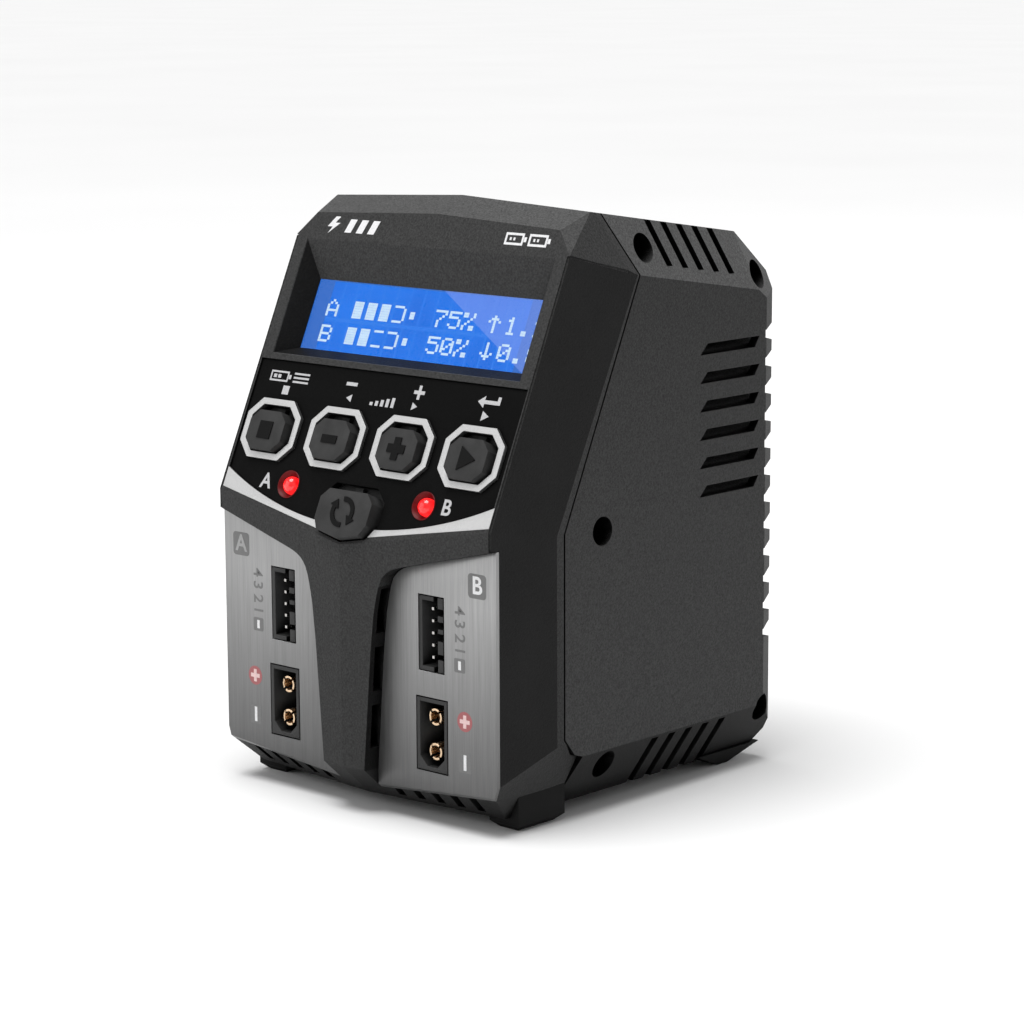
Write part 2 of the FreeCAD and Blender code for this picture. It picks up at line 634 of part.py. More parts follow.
def balance_socket(side):
    x = side * SOCKET_X
    half_w, half_h = BALANCE_W / 2 - SOCKET_GAP, BALANCE_H / 2 - SOCKET_GAP
    end_wall, key_x = 0.9, x + 1.8
    block = socket_block(x, BALANCE_Z, 2 * half_w, 2 * half_h, PLATE_Y, OUTPUT_FRONT_Y)
    cavity = box(x - half_w + end_wall, key_x, 0, PLATE_Y + 7,
                 BALANCE_Z - half_h + end_wall, BALANCE_Z + half_h - end_wall)
    relief = box(key_x - 1.1, key_x, 0, PLATE_Y + 2, BALANCE_Z - half_h - 1, BALANCE_Z + half_h + 1)
    keys = [box(key_x - 0.1, x + half_w + 1, 0, PLATE_Y + 5, BALANCE_Z + low, BALANCE_Z + high)
            for low, high in KEY_GAPS]
    return trim(block, [cavity, relief] + keys + balance_pins(side))


def contact_stem(x, z):
    """Round pin of a power contact, stepped down where the socket holds it."""
    pin = cylinder(CONTACT_R, V(x, PLATE_Y + TIP_DEPTH, z), V(x, POWER_FLOOR_Y - 0.3, z))
    return pin.fuse(cylinder(CONTACT_ROOT_R, V(x, POWER_FLOOR_Y - 1, z), V(x, OUTPUT_FRONT_Y, z)))


def power_contact(x, z):
    """Hollow pin, split in four so that it springs."""
    hollow = cylinder(CONTACT_BORE_R, V(x, 0, z), V(x, PLATE_Y + 6, z))
    slits = []
    for turn in (45, -45):
        slit = box(-3, 3, 0, PLATE_Y + 5, -CONTACT_SLIT / 2, CONTACT_SLIT / 2)
        slit.rotate(V(0, 0, 0), V(0, 1, 0), turn)
        slit.translate(V(x, 0, z))
        slits.append(slit)
    return only_solid(trim(contact_stem(x, z), [hollow] + slits))


def contact_places(side):
    return [(side * SOCKET_X, POWER_Z + step * CONTACT_PITCH) for step in (-0.5, 0.5)]


def power_contacts(side):
    return [power_contact(x, z) for x, z in contact_places(side)]


def power_socket(side):
    x = side * SOCKET_X
    wall = 1.1
    width, height = POWER_W - 2 * SOCKET_GAP, POWER_H - 2 * SOCKET_GAP
    block = socket_block(x, POWER_Z, width, height, PLATE_Y, OUTPUT_FRONT_Y)
    half_w, half_h, cut = POWER_W / 2 - wall, POWER_H / 2 - wall, 2.0
    outline = [(-half_w, half_h), (half_w, half_h), (half_w, cut - half_h), (half_w - cut, -half_h),
               (cut - half_w, -half_h), (-half_w, cut - half_h)]
    cavity = prism([V(x + p, 0, POWER_Z + q) for p, q in outline], V(0, POWER_FLOOR_Y, 0))
    return trim(block, [cavity] + [contact_stem(x, z) for x, z in contact_places(side)])


def output_board():
    board = box(-35.0, 35.0, OUTPUT_FRONT_Y, OUTPUT_BACK_Y, 10.0, 52.5)
    return trim(board, output_screw_bores())


def output_screws():
    screws = []
    for x, z in OUTPUT_FIXINGS:
        shank = cylinder(SMALL_SCREW_R, V(x, 6.0, z), V(x, OUTPUT_BACK_Y + 0.2, z))
        head = cylinder(SMALL_HEAD_R, V(x, OUTPUT_BACK_Y, z), V(x, OUTPUT_BACK_Y + 1.4, z))
        screws.append(join([shank, head]))
    return Part.makeCompound(screws)


# ---- power electronics on the main board -------------------------------------------------------

BOARD_TOP = BOARD_Z + BOARD_THICK


def main_board():
    board = box(-BOARD_HALF, BOARD_HALF, BOARD_FRONT_Y, BOARD_BACK_Y, BOARD_Z, BOARD_TOP)
    holes = [cylinder(SCREW_R + CLEAR, V(x, y, BOARD_Z - 1), V(x, y, BOARD_TOP + 1))
             for x, y in BOARD_FIXINGS]
    return trim(board, holes)


def board_screws():
    screws = []
    for x, y in BOARD_FIXINGS:
        shank = cylinder(SCREW_R, V(x, y, BASE_Z + 2.2), V(x, y, BOARD_TOP + 0.2))
        head = cylinder(2.6, V(x, y, BOARD_TOP), V(x, y, BOARD_TOP + 1.8))
        screws.append(join([shank, head]))
    return Part.makeCompound(screws)


CORE_X, CORE_Y = -13.0, 50.0
CORE_W, CORE_D, CORE_H = 32.0, 16.0, 28.0
LEG_W = 10.0
YOKE = 5.0


def transformer_core():
    low = BOARD_TOP + 1.0
    core = box(CORE_X - CORE_W / 2, CORE_X + CORE_W / 2, CORE_Y - CORE_D / 2, CORE_Y + CORE_D / 2,
               low, low + CORE_H)
    windows = []
    for side in (-1, 1):
        inner = CORE_X + side * LEG_W / 2
        outer = CORE_X + side * (CORE_W / 2 - YOKE)
        windows.append(box(min(inner, outer), max(inner, outer), CORE_Y - 20, CORE_Y + 20,
                           low + YOKE, low + CORE_H - YOKE))
    return trim(core, windows)


def transformer_winding():
    low = BOARD_TOP + 1.0 + YOKE + 0.1
    high = BOARD_TOP + 1.0 + CORE_H - YOKE - 0.1
    half_x, half_y = CORE_W / 2 - YOKE - 0.2, CORE_D / 2 + 5.5
    winding = box(CORE_X - half_x, CORE_X + half_x, CORE_Y - half_y, CORE_Y + half_y, low, high)
    uprights = [edge for edge in winding.Edges if abs(edge.Length - (high - low)) < 0.01]
    winding = winding.makeFillet(3.0, uprights)
    leg = box(CORE_X - LEG_W / 2 - 0.1, CORE_X + LEG_W / 2 + 0.1, CORE_Y - CORE_D / 2 - 0.1,
              CORE_Y + CORE_D / 2 + 0.1, 0, 90)
    pins = [box(CORE_X + x - 0.4, CORE_X + x + 0.4, CORE_Y + y - 0.4, CORE_Y + y + 0.4, BOARD_TOP, low + 1)
            for x in (-8, -4, 4, 8) for y in (-11.5, 11.5)]
    return join([winding.cut(leg)] + pins)


def bulk_capacitor():
    return cylinder(8.5, V(21.5, 57.5, BOARD_TOP), V(21.5, 57.5, BOARD_TOP + 30))


def output_capacitors():
    return Part.makeCompound([cylinder(4.0, V(x, 22.5, BOARD_TOP), V(x, 22.5, BOARD_TOP + 14))
                              for x in (-27.0, -17.0, 17.0, 27.0)])


def inductors():
    rings = []
    for x in (-5.5, 9.5):
        ring = Part.makeTorus(5.0, 2.0, V(x, 30, BOARD_TOP + 7.0), V(0, 1, 0))
        rings.append(ring)
    return Part.makeCompound(rings)


SINK_X, SINK_FRONT_Y, SINK_BACK_Y, SINK_H = 26.0, 34.0, 49.5, 30.0


def heat_sink():
    base = box(SINK_X, SINK_X + 2.5, SINK_FRONT_Y, SINK_BACK_Y, BOARD_TOP, BOARD_TOP + SINK_H)
    pitch = (SINK_BACK_Y - SINK_FRONT_Y - 1.5) / 5
    fins = []
    for number in range(6):
        y = SINK_FRONT_Y + pitch * number
        fins.append(box(SINK_X + 2.3, SINK_X + 9.0, y, y + 1.5, BOARD_TOP + 3.0, BOARD_TOP + SINK_H))
    return join([base] + fins)


def power_transistors():
    return Part.makeCompound([box(SINK_X - 4.5, SINK_X, y, y + 6.5, BOARD_TOP + z, BOARD_TOP + z + 10)
                              for y in (34.5, 42.0) for z in (3.0, 16.0)])


def fuse():
    return cylinder(2.6, V(10, 71.5, BOARD_TOP + 2.6), V(26, 71.5, BOARD_TOP + 2.6))


def buzzer():
    return cylinder(4.5, V(0.5, 70.5, BOARD_TOP), V(0.5, 70.5, BOARD_TOP + 7))


# ---- mains inlet -------------------------------------------------------------------------------

INLET_PIN_R = 1.2
INLET_PITCH = 8.6
INLET_FRONT_Y = REAR_Y - 21.0


def inlet_pins():
    return [cylinder(INLET_PIN_R, V(INLET_X + side * INLET_PITCH / 2, INLET_FRONT_Y - 1.5, INLET_Z),
                     V(INLET_X + side * INLET_PITCH / 2, REAR_Y - 5.0, INLET_Z)) for side in (-1, 1)]


def mains_inlet():
    block = box(INLET_X - INLET_W / 2 + 0.1, INLET_X + INLET_W / 2 - 0.1, INLET_FRONT_Y, REAR_Y - 0.2,
                INLET_Z - INLET_H / 2 + 0.15, INLET_Z + INLET_H / 2 - 0.1)
    mouth = [cylinder(4.2, V(INLET_X + side * INLET_PITCH / 2, REAR_Y - 15, INLET_Z),
                      V(INLET_X + side * INLET_PITCH / 2, REAR_Y + 1, INLET_Z)) for side in (-1, 1)]
    waist = box(INLET_X - INLET_PITCH / 2, INLET_X + INLET_PITCH / 2, REAR_Y - 15, REAR_Y + 1,
                INLET_Z - 3.3, INLET_Z + 3.3)
    return trim(block, mouth + [waist] + inlet_pins())


# ---- fan ---------------------------------------------------------------------------------------

FAN_HUB_R = 13.0
FAN_BLADE_R = 26.8
FAN_BORE_R = 28.0
FAN_BLADES = 7
FAN_SHAFT_R = 1.5


def fan_frame():
    half = FAN_SIZE / 2
    frame = box(-half, half, FAN_FRONT_Y, FAN_BACK_Y, FAN_Z - half, FAN_Z + half)
    frame = frame.makeFillet(4.0, [edge for edge in frame.Edges if abs(edge.Length - 15.0) < 0.01])
    frame = frame.cut(cylinder(FAN_BORE_R, V(0, FAN_FRONT_Y - 1, FAN_Z), V(0, FAN_BACK_Y + 1, FAN_Z)))
    motor = cylinder(12.5, V(0, FAN_BACK_Y - 2.5, FAN_Z), V(0, FAN_BACK_Y, FAN_Z))
    spokes = []
    for number in range(4):
        spoke = box(10, FAN_BORE_R + 1, FAN_BACK_Y - 2.2, FAN_BACK_Y, -1.5, 1.5)
        spoke.rotate(V(0, 0, 0), V(0, 1, 0), 90 * number)
        spoke.translate(V(0, 0, FAN_Z))
        spokes.append(spoke)
    frame = join([frame, motor] + spokes)
    holes = [cylinder(2.0, V(x, FAN_FRONT_Y - 1, z), V(x, FAN_BACK_Y + 1, z)) for x, z in fan_places()]
    shaft_bore = cylinder(FAN_SHAFT_R + CLEAR, V(0, FAN_BACK_Y - 5, FAN_Z), V(0, FAN_BACK_Y + 1, FAN_Z))
    return trim(frame, holes + [shaft_bore])


def fan_rotor():
    front, back = FAN_FRONT_Y + 1.0, FAN_BACK_Y - 3.0
    hub = cylinder(FAN_HUB_R, V(0, front, FAN_Z), V(0, back, FAN_Z))
    hub = hub.makeFillet(1.2, [edge for edge in hub.Edges if abs(edge.CenterOfMass.y - front) < 0.01])
    shaft = cylinder(FAN_SHAFT_R, V(0, back - 1, FAN_Z), V(0, FAN_BACK_Y - 0.4, FAN_Z))
    ring = cylinder(FAN_BLADE_R, V(0, front + 0.3, FAN_Z), V(0, back - 0.3, FAN_Z))
    blades = []
    for number in range(FAN_BLADES):
        blade = box(FAN_HUB_R - 1, 40, -12, 12, -0.7, 0.7)
        blade.rotate(V(0, 0, 0), V(1, 0, 0), 38)
        blade.translate(V(0, (front + back) / 2, 0))
        blade.rotate(V(0, 0, 0), V(0, 1, 0), 360 / FAN_BLADES * number)
        blade.translate(V(0, 0, FAN_Z))
        blades.append(blade.common(ring))
    return join([hub, shaft] + blades)


def fan_screws():
    screws = []
    for x, z in fan_places():
        shank = cylinder(SCREW_R, V(x, FAN_FRONT_Y - 0.2, z), V(x, REAR_Y - 2.2, z))
        head = cylinder(2.6, V(x, FAN_FRONT_Y - 1.8, z), V(x, FAN_FRONT_Y, z))
        screws.append(join([shank, head]))
    return Part.makeCompound(screws)


# ---- case screws and feet ----------------------------------------------------------------------

def case_screws():
    screws = []
    cross_low, cross_high = SCREW_HEAD_X + 1.2, SCREW_HEAD_X + 3.0
    for y, z in CASE_SCREWS:
        shank = cylinder(SCREW_R, V(-SCREW_REACH, y, z), V(SCREW_HEAD_X + 0.2, y, z))
        head = cylinder(SCREW_HEAD_R, V(SCREW_HEAD_X, y, z), V(SCREW_HEAD_X + 2.0, y, z))
        slot = box(cross_low, cross_high, y - 0.4, y + 0.4, z - 1.7, z + 1.7)
        cross = box(cross_low, cross_high, y - 1.7, y + 1.7, z - 0.4, z + 0.4)
        screws.append(join([shank, head]).cut(slot.fuse(cross)))
    return Part.makeCompound(screws)


def tapered_pad(low, high, height):
    """Block between two level rectangles, each given as x and y limits; the low one is on the table."""
    wires = []
    for (x0, x1, y0, y1), z in ((low, 0), (high, height)):
        corners = [V(x0, y0, z), V(x1, y0, z), V(x1, y1, z), V(x0, y1, z), V(x0, y0, z)]
        wires.append(Part.makePolygon(corners))
    return Part.makeLoft(wires, True, True)


def front_foot():
    """Pad that wraps the lower side edge of the case."""
    sole = tapered_pad((31.6, 36.4, 10.6, 21.4), (30.0, 38.0, 9.0, 23.0), 1.4)
    return only_solid(join([sole, box(30.0, 38.0, 9.0, 23.0, 1.4, 8)]).cut(OUTER))


def rear_foot():
    """Shallow pad that slopes away to the front, the back and the sides."""
    return only_solid(tapered_pad((30.0, 34.6, 77.2, 80.4), (28.4, 36.6, 68.5, 89.0), 3.6).cut(OUTER))


# ---- write every piece -------------------------------------------------------------------------

right_shell, left_shell = body_shells()
right_trim = trim_strip()
write("front_shell", front_shell())
write("body_shell_right", right_shell)
write("body_shell_left", left_shell)
write("keypad_label", keypad_label())
write("trim_strip_right", right_trim)
write("trim_strip_left", mirror_x(right_trim))
for key, place in BUTTON_X.items():
    write("button_" + key, push_button(place))
    write("button_ring_" + key, button_ring(place))
write("button_channel", channel_button())
write("key_switches", key_switches())
write("indicator_light_a", light_pipe(-LIGHT_X))
write("indicator_light_b", light_pipe(LIGHT_X))
write("display_window", display_window())
write("display_panel", face_block(32.9, 32.5, 49.9, -7.2, -4.85))
write("display_backlight", face_block(32.9, 32.5, 49.9, -9.95, -7.25))
write("display_frame", display_frame())
write("control_board", control_board())
write("control_screws", control_screws())
for letter, side in (("a", -1), ("b", 1)):
    write("output_plate_" + letter, output_plate(side))
    write("balance_socket_" + letter, balance_socket(side))
    write("balance_pins_" + letter, Part.makeCompound(balance_pins(side)))
    write("power_socket_" + letter, power_socket(side))
    write("power_contacts_" + letter, Part.makeCompound(power_contacts(side)))
write("output_board", output_board())
write("output_screws", output_screws())
write("main_board", main_board())
write("board_screws", board_screws())
write("transformer_core", transformer_core())
write("transformer_winding", transformer_winding())
write("bulk_capacitor", bulk_capacitor())
write("output_capacitors", output_capacitors())
write("inductors", inductors())
write("heat_sink", heat_sink())
write("power_transistors", power_transistors())
write("fuse", fuse())
write("buzzer", buzzer())
write("mains_inlet", mains_inlet())
write("inlet_pins", Part.makeCompound(inlet_pins()))
write("fan_frame", fan_frame())
write("fan_rotor", fan_rotor())
write("fan_screws", fan_screws())
write("case_screws", case_screws())
for name, right_foot in (("front", front_foot()), ("rear", rear_foot())):
    write("foot_" + name + "_right", right_foot)
    write("foot_" + name + "_left", mirror_x(right_foot))
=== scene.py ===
import json
import math

import bmesh
import bpy
from mathutils import Matrix, Vector


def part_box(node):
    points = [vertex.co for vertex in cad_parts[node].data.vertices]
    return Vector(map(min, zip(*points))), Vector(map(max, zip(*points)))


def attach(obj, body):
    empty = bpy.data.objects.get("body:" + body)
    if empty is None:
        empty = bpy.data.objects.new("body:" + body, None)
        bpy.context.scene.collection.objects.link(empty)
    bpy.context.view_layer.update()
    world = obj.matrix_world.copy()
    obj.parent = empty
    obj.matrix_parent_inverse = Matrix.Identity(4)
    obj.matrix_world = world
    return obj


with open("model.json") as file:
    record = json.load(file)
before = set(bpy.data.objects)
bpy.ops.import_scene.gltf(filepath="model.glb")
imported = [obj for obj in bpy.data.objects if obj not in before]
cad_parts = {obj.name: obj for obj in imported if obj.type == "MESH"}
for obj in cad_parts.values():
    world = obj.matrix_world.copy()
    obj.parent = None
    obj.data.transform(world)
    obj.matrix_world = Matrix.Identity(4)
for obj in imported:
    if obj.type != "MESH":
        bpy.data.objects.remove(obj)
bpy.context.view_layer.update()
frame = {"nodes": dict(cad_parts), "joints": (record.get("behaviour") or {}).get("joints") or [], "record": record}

# Looks of the twin-channel balance charger. Metres, the CAD part's own frame.

MM = 0.001
NODES = frame["nodes"]
SLOT_OF = {row["node"]: row["material_slot"] for row in frame["record"]["subparts"]}

# ---- the drawing planes: slanted face and output plates -----------------------------------------

ring_low, ring_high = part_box("button_ring_inc")
press_axis = Vector(next(j["axis"] for j in frame["joints"] if j["name"] == "press_inc")).normalized()
FACE_OUT = -press_axis
FACE_X = Vector((1, 0, 0))
FACE_UP = FACE_OUT.cross(FACE_X).normalized()

plate_low, plate_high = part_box("output_plate_b")

# the rings stand half a millimetre proud of the face, all at the height of the button row
RING_STANDS = 0.5 * MM
ROW_V = ((ring_low + ring_high) / 2).dot(FACE_UP)


def front_of(node):
    """How far a node reaches in the direction out of the slanted face."""
    return max(v.co.dot(FACE_OUT) for v in NODES[node].data.vertices)


FACE_W = front_of("button_ring_inc") - RING_STANDS


def face_matrix(x, v, w=0.0):
    """Placement on the slanted face: x across, v up from the button row, w out of the face."""
    origin = FACE_X * x + FACE_UP * (ROW_V + v) + FACE_OUT * (FACE_W + w)
    turn = Matrix((FACE_X, FACE_UP, FACE_OUT)).transposed().to_4x4()
    return Matrix.Translation(origin) @ turn


def plate_matrix(x, z, out=0.0):
    """Placement on an output plate: x across, z up, out towards the front."""
    turn = Matrix(((1, 0, 0), (0, 0, 1), (0, -1, 0))).transposed().to_4x4()
    return Matrix.Translation((x, plate_low.y - out, z)) @ turn


# ---- materials ---------------------------------------------------------------------------------

def new_material(name):
    material = bpy.data.materials.new(name)
    material.use_nodes = True
    material.node_tree.nodes.clear()
    return material


class Graph:
    """Short way to write a shader graph; lengths are in metres."""

    def __init__(self, name):
        self.material = new_material(name)
        self.tree = self.material.node_tree
        self.coords = self.add("ShaderNodeTexCoord")

    def add(self, kind, **inputs):
        node = self.tree.nodes.new(kind)
        for key, value in inputs.items():
            self.feed(node, key.replace("_", " "), value)
        return node

    def feed(self, node, key, value):
        socket = node.inputs[int(key)] if key.isdigit() else node.inputs[key]
        if isinstance(value, bpy.types.NodeSocket):
            self.tree.links.new(value, socket)
        else:
            socket.default_value = value

    def math(self, operation, first, second=0.0, third=0.0):
        node = self.tree.nodes.new("ShaderNodeMath")
        node.operation = operation
        for index, value in enumerate((first, second, third)):
            self.feed(node, str(index), value)
        return node.outputs[0]

    def stretched(self, scale):
        mapping = self.add("ShaderNodeMapping", Vector=self.coords.outputs["Object"], Scale=scale)
        return mapping.outputs[0]

    def noise(self, size, detail=2.0, stretch=(1, 1, 1), rough=0.5):
        """Noise with features of about the given size in metres."""
        node = self.add("ShaderNodeTexNoise", Vector=self.stretched(stretch), Scale=1.0 / size,
                        Detail=detail, Roughness=rough)
        return node.outputs[0]

    def ramp(self, value, low, high):
        node = self.add("ShaderNodeMapRange", Value=value)
        node.inputs["From Min"].default_value = 0.3
        node.inputs["From Max"].default_value = 0.7
        node.inputs["To Min"].default_value = low
        node.inputs["To Max"].default_value = high
        return node.outputs[0]

    def mix_colour(self, factor, first, second):
        node = self.tree.nodes.new("ShaderNodeMix")
        node.data_type = "RGBA"
        self.feed(node, "0", factor)
        self.feed(node, "6", first)
        self.feed(node, "7", second)
        return node.outputs[2]

    def between(self, value, low, high):
        """0 at the low value, 1 at the high one."""
        node = self.add("ShaderNodeMapRange", Value=value)
        node.inputs["From Min"].default_value = low
        node.inputs["From Max"].default_value = high
        return node.outputs[0]

    def multiply(self, first, second):
        node = self.tree.nodes.new("ShaderNodeMix")
        node.data_type = "RGBA"
        node.blend_type = "MULTIPLY"
        self.feed(node, "0", 1.0)
        self.feed(node, "6", first)
        self.feed(node, "7", second)
        return node.outputs[2]

    def height(self):
        """Height of the shaded point."""
        return self.add("ShaderNodeSeparateXYZ", Vector=self.coords.outputs["Object"]).outputs[2]

    def along(self, direction):
        """Distance of the shaded point along a direction, from the origin."""
        return self.dot(self.coords.outputs["Object"], direction)

    def dot(self, vector, direction):
        node = self.tree.nodes.new("ShaderNodeVectorMath")
        node.operation = "DOT_PRODUCT"
        self.tree.links.new(vector, node.inputs[0])
        node.inputs[1].default_value = direction
        return node.outputs["Value"]

    def all_of(self, *conditions):
        value = conditions[0]
        for condition in conditions[1:]:
            value = self.math("MULTIPLY", value, condition)
        return value

    def recessed(self, reach, darkest=0.05, start=0.45, end=0.85):
        """Grey factor of painted shade that turns dark in slots, gaps and holes, judged by what is within reach.
        """
        node = self.add("ShaderNodeAmbientOcclusion", Distance=reach)
        node.samples = 6
        return self.mix_colour(self.between(node.outputs["AO"], start, end), grey(darkest), grey(1.0))

    def bump(self, height, depth, strength=1.0):
        node = self.add("ShaderNodeBump", Height=height, Strength=strength, Distance=depth)
        return node.outputs[0]

    def finish(self, colour, roughness, normal=None, **extra):
        shader = self.add("ShaderNodeBsdfPrincipled")
        self.feed(shader, "Base Color", colour)
        self.feed(shader, "Roughness", roughness)
        if normal is not None:
            self.feed(shader, "Normal", normal)
        for key, value in extra.items():
            self.feed(shader, key.replace("_", " "), value)
        output = self.add("ShaderNodeOutputMaterial")
        self.tree.links.new(shader.outputs[0], output.inputs[0])
        return self.material


def grey(level):
    return (level, level, level, 1.0)


def grained_plastic(name, level, roughness=0.5, grain=0.00035, depth=0.00004, specular=0.3, reach=0.003):
    """Moulded plastic with a spark-eroded grain, with painted shade in its hollows."""
    g = Graph(name)
    fine = g.noise(grain, 3.0)
    broad = g.noise(0.012, 2.0)
    colour = g.mix_colour(g.ramp(fine, 0.0, 1.0), grey(level * 0.82), grey(level * 1.18))
    colour = g.mix_colour(g.ramp(broad, 0.0, 0.25), colour, grey(level * 1.25))
    # painted shade: darker in slots, gaps and holes
    colour = g.multiply(colour, g.recessed(reach, 0.01, 0.55, 0.9))
    rough = g.math("ADD", g.ramp(fine, roughness - 0.07, roughness + 0.07), g.ramp(broad, -0.03, 0.03))
    return g.finish(colour, rough, g.bump(fine, depth), Specular_IOR_Level=specular)


def case_plastic(name, body, dark, tilts, fade, hollows):
    """Case plastic with a spark-eroded grain, with painted light on the faces that tilt up and painted shade
    below.

    The steep cheeks get the dark painted shade. The first two tilts are where the painted light of the upward
    faces starts and ends, and the other two are where the painted shade of the faces below starts and is darkest.
    The fade is the share of the painted shade high up the walls and low down. The hollows are the reach, darkest
    level, start and end of the painted shade in slots, gaps and holes.
    """
    g = Graph(name)
    fine = g.noise(0.00042, 3.0, rough=0.65)
    broad = g.noise(0.014, 2.0)
    geometry = g.add("ShaderNodeNewGeometry")
    split = g.add("ShaderNodeSeparateXYZ", Vector=geometry.outputs["True Normal"])
    sideways, tilt = g.math("ABSOLUTE", split.outputs[0]), split.outputs[2]
    # painted light and shade by which way a face points: the cheeks take the dark level, the walls a shade that
    # changes with height, upward faces a lighter colour and downward faces a darker one
    cheek = g.all_of(g.math("GREATER_THAN", sideways, 0.96), g.math("LESS_THAN", sideways, 0.9985))
    low = g.between(g.height(), SIDE_TOP, SIDE_FOOT)
    side = g.mix_colour(low, grey(body * fade[0]), grey(body * fade[1]))
    shade = g.mix_colour(cheek, side, grey(dark))
    shade = g.mix_colour(g.between(tilt, *tilts[:2]), shade, grey(TOP_PAINTED_LIGHT))
    shade = g.mix_colour(g.between(tilt, *tilts[2:]), shade, grey(body * 0.3))
    # painted shade: the walls of the openings in the slanted face are darkened
    across = g.math("ABSOLUTE", g.along(FACE_X))
    up = g.math("SUBTRACT", g.along(FACE_UP), ROW_V - FACE_ROW_V * MM)
    out = g.math("SUBTRACT", g.along(FACE_OUT), FACE_W)
    inside = g.all_of(g.math("LESS_THAN", out, -0.15 * MM), g.math("GREATER_THAN", out, -12 * MM),
                      g.math("LESS_THAN", across, 37 * MM), g.math("GREATER_THAN", up, 0.3 * MM),
                      g.math("LESS_THAN", up, 57.5 * MM), g.math("GREATER_THAN", tilt, -0.01))
    shade = g.mix_colour(inside, shade, grey(HOLLOW_PAINTED_SHADE))
    speckle = g.mix_colour(g.ramp(fine, 0.0, 1.0), grey(0.5), grey(1.5))
    colour = g.multiply(shade, speckle)
    colour = g.mix_colour(g.ramp(broad, 0.0, 0.08), colour, grey(0.06))
    # painted shade: darker in slots, gaps and holes
    colour = g.multiply(colour, g.recessed(*hollows))
    rough = g.math("ADD", g.ramp(fine, 0.46, 0.60), g.ramp(broad, -0.03, 0.03))
    return g.finish(colour, rough, g.bump(fine, 0.00013), Specular_IOR_Level=0.12)


def soft_rubber(name, level, roughness):
    g = Graph(name)
    fine = g.noise(0.00025, 2.0)
    worn = g.noise(0.004, 3.0)
    colour = g.mix_colour(g.ramp(worn, 0.0, 1.0), grey(level * 0.8), grey(level * 1.25))
    # painted shade: darker in slots, gaps and holes
    colour = g.multiply(colour, g.recessed(0.0015, 0.02, 0.3, 0.7))
    return g.finish(colour, g.ramp(worn, roughness - 0.06, roughness + 0.06), g.bump(fine, 0.00003),
                    Specular_IOR_Level=0.15)


def label_film():
    """Dark satin film with the faintest orange-peel."""
    g = Graph("label_film")
    peel = g.noise(0.0009, 2.0)
    fleck = g.noise(0.00012, 1.0)
    colour = g.mix_colour(g.ramp(fleck, 0.0, 1.0), grey(0.0025), grey(0.005))
    return g.finish(colour, g.ramp(peel, 0.5, 0.6), g.bump(peel, 0.000012), Specular_IOR_Level=0.035)


def silver_trim():
    g = Graph("silver_trim")
    flake = g.noise(0.00012, 2.0)
    broad = g.noise(0.006, 2.0)
    colour = g.mix_colour(g.ramp(flake, 0.0, 1.0), grey(0.42), grey(0.56))
    # painted shade: only the faces that look straight out are silver; faces turned away from the slanted face, the
    # edges, are darkened
    normal = g.add("ShaderNodeNewGeometry").outputs["True Normal"]
    front = g.between(g.dot(normal, FACE_OUT), 0.25, 0.75)
    colour = g.multiply(colour, g.mix_colour(front, grey(0.16), grey(1.0)))
    return g.finish(colour, g.ramp(broad, 0.36, 0.46), g.bump(flake, 0.000006), Metallic=0.35)


def brushed_plate():
    """Steel-look plate, brushed upright, with painted shade towards the table and towards the nose."""
    g = Graph("brushed_plate")
    lines = g.noise(0.00016, 3.0, stretch=(1, 1, 0.012), rough=0.65)
    long_lines = g.noise(0.0009, 3.0, stretch=(1, 1, 0.02))
    cloud = g.noise(0.012, 2.0, stretch=(1, 1, 0.4))
    colour = g.mix_colour(g.ramp(lines, 0.0, 1.0), grey(0.245), grey(0.375))
    colour = g.mix_colour(g.ramp(long_lines, 0.0, 0.35), colour, grey(0.44))
    height = g.between(g.height(), plate_low.z, plate_high.z - 0.012)
    across = g.math("ABSOLUTE", g.along(FACE_X))
    inward = g.between(across, plate_high.x - 0.012, plate_high.x - 0.034)
    # painted shade: darker towards the table and towards the nose
    shade = g.mix_colour(height, grey(0.34), grey(1.0))
    shade = g.multiply(shade, g.mix_colour(inward, grey(1.0), grey(0.86)))
    colour = g.multiply(colour, shade)
    rough = g.math("ADD", g.ramp(lines, 0.34, 0.48), g.ramp(cloud, -0.03, 0.03))
    return g.finish(colour, rough, g.bump(lines, 0.00001), Metallic=0.75, Anisotropic=0.6)


def metal(name, colour, roughness, grain=0.0005, spread=0.06):
    g = Graph(name)
    fine = g.noise(grain, 3.0)
    dull = tuple(c * 0.75 for c in colour[:3]) + (1.0,)
    tint = g.mix_colour(g.ramp(fine, 0.0, 1.0), dull, tuple(colour[:3]) + (1.0,))
    # painted shade: darker in slots, gaps and holes
    tint = g.multiply(tint, g.recessed(0.002, 0.03, 0.45, 0.8))
    return g.finish(tint, g.ramp(fine, roughness - spread, roughness + spread), g.bump(fine, 0.000008),
                    Metallic=1.0)


def glowing_red():
    """Red indicator lens with light inside."""
    g = Graph("light_red")
    cloud = g.noise(0.0012, 2.0)
    colour = g.mix_colour(g.ramp(cloud, 0.0, 1.0), (0.80, 0.004, 0.006, 1), (0.95, 0.02, 0.02, 1))
    return g.finish(colour, g.ramp(cloud, 0.12, 0.2), Emission_Color=colour, Emission_Strength=1.6,
                    Coat_Weight=0.3)


def dish_red():
    """Painted red glow on the dish wall, standing in for the light of the lamp in it."""
    g = Graph("dish_red")
    cloud = g.noise(0.0006, 2.0)
    colour = g.mix_colour(g.ramp(cloud, 0.0, 1.0), (0.09, 0.002, 0.003, 1), (0.15, 0.004, 0.005, 1))
    return g.finish((0.01, 0.001, 0.001, 1), g.ramp(cloud, 0.4, 0.5), g.bump(cloud, 0.00001),
                    Emission_Color=colour, Emission_Strength=1.0, Specular_IOR_Level=0.2)


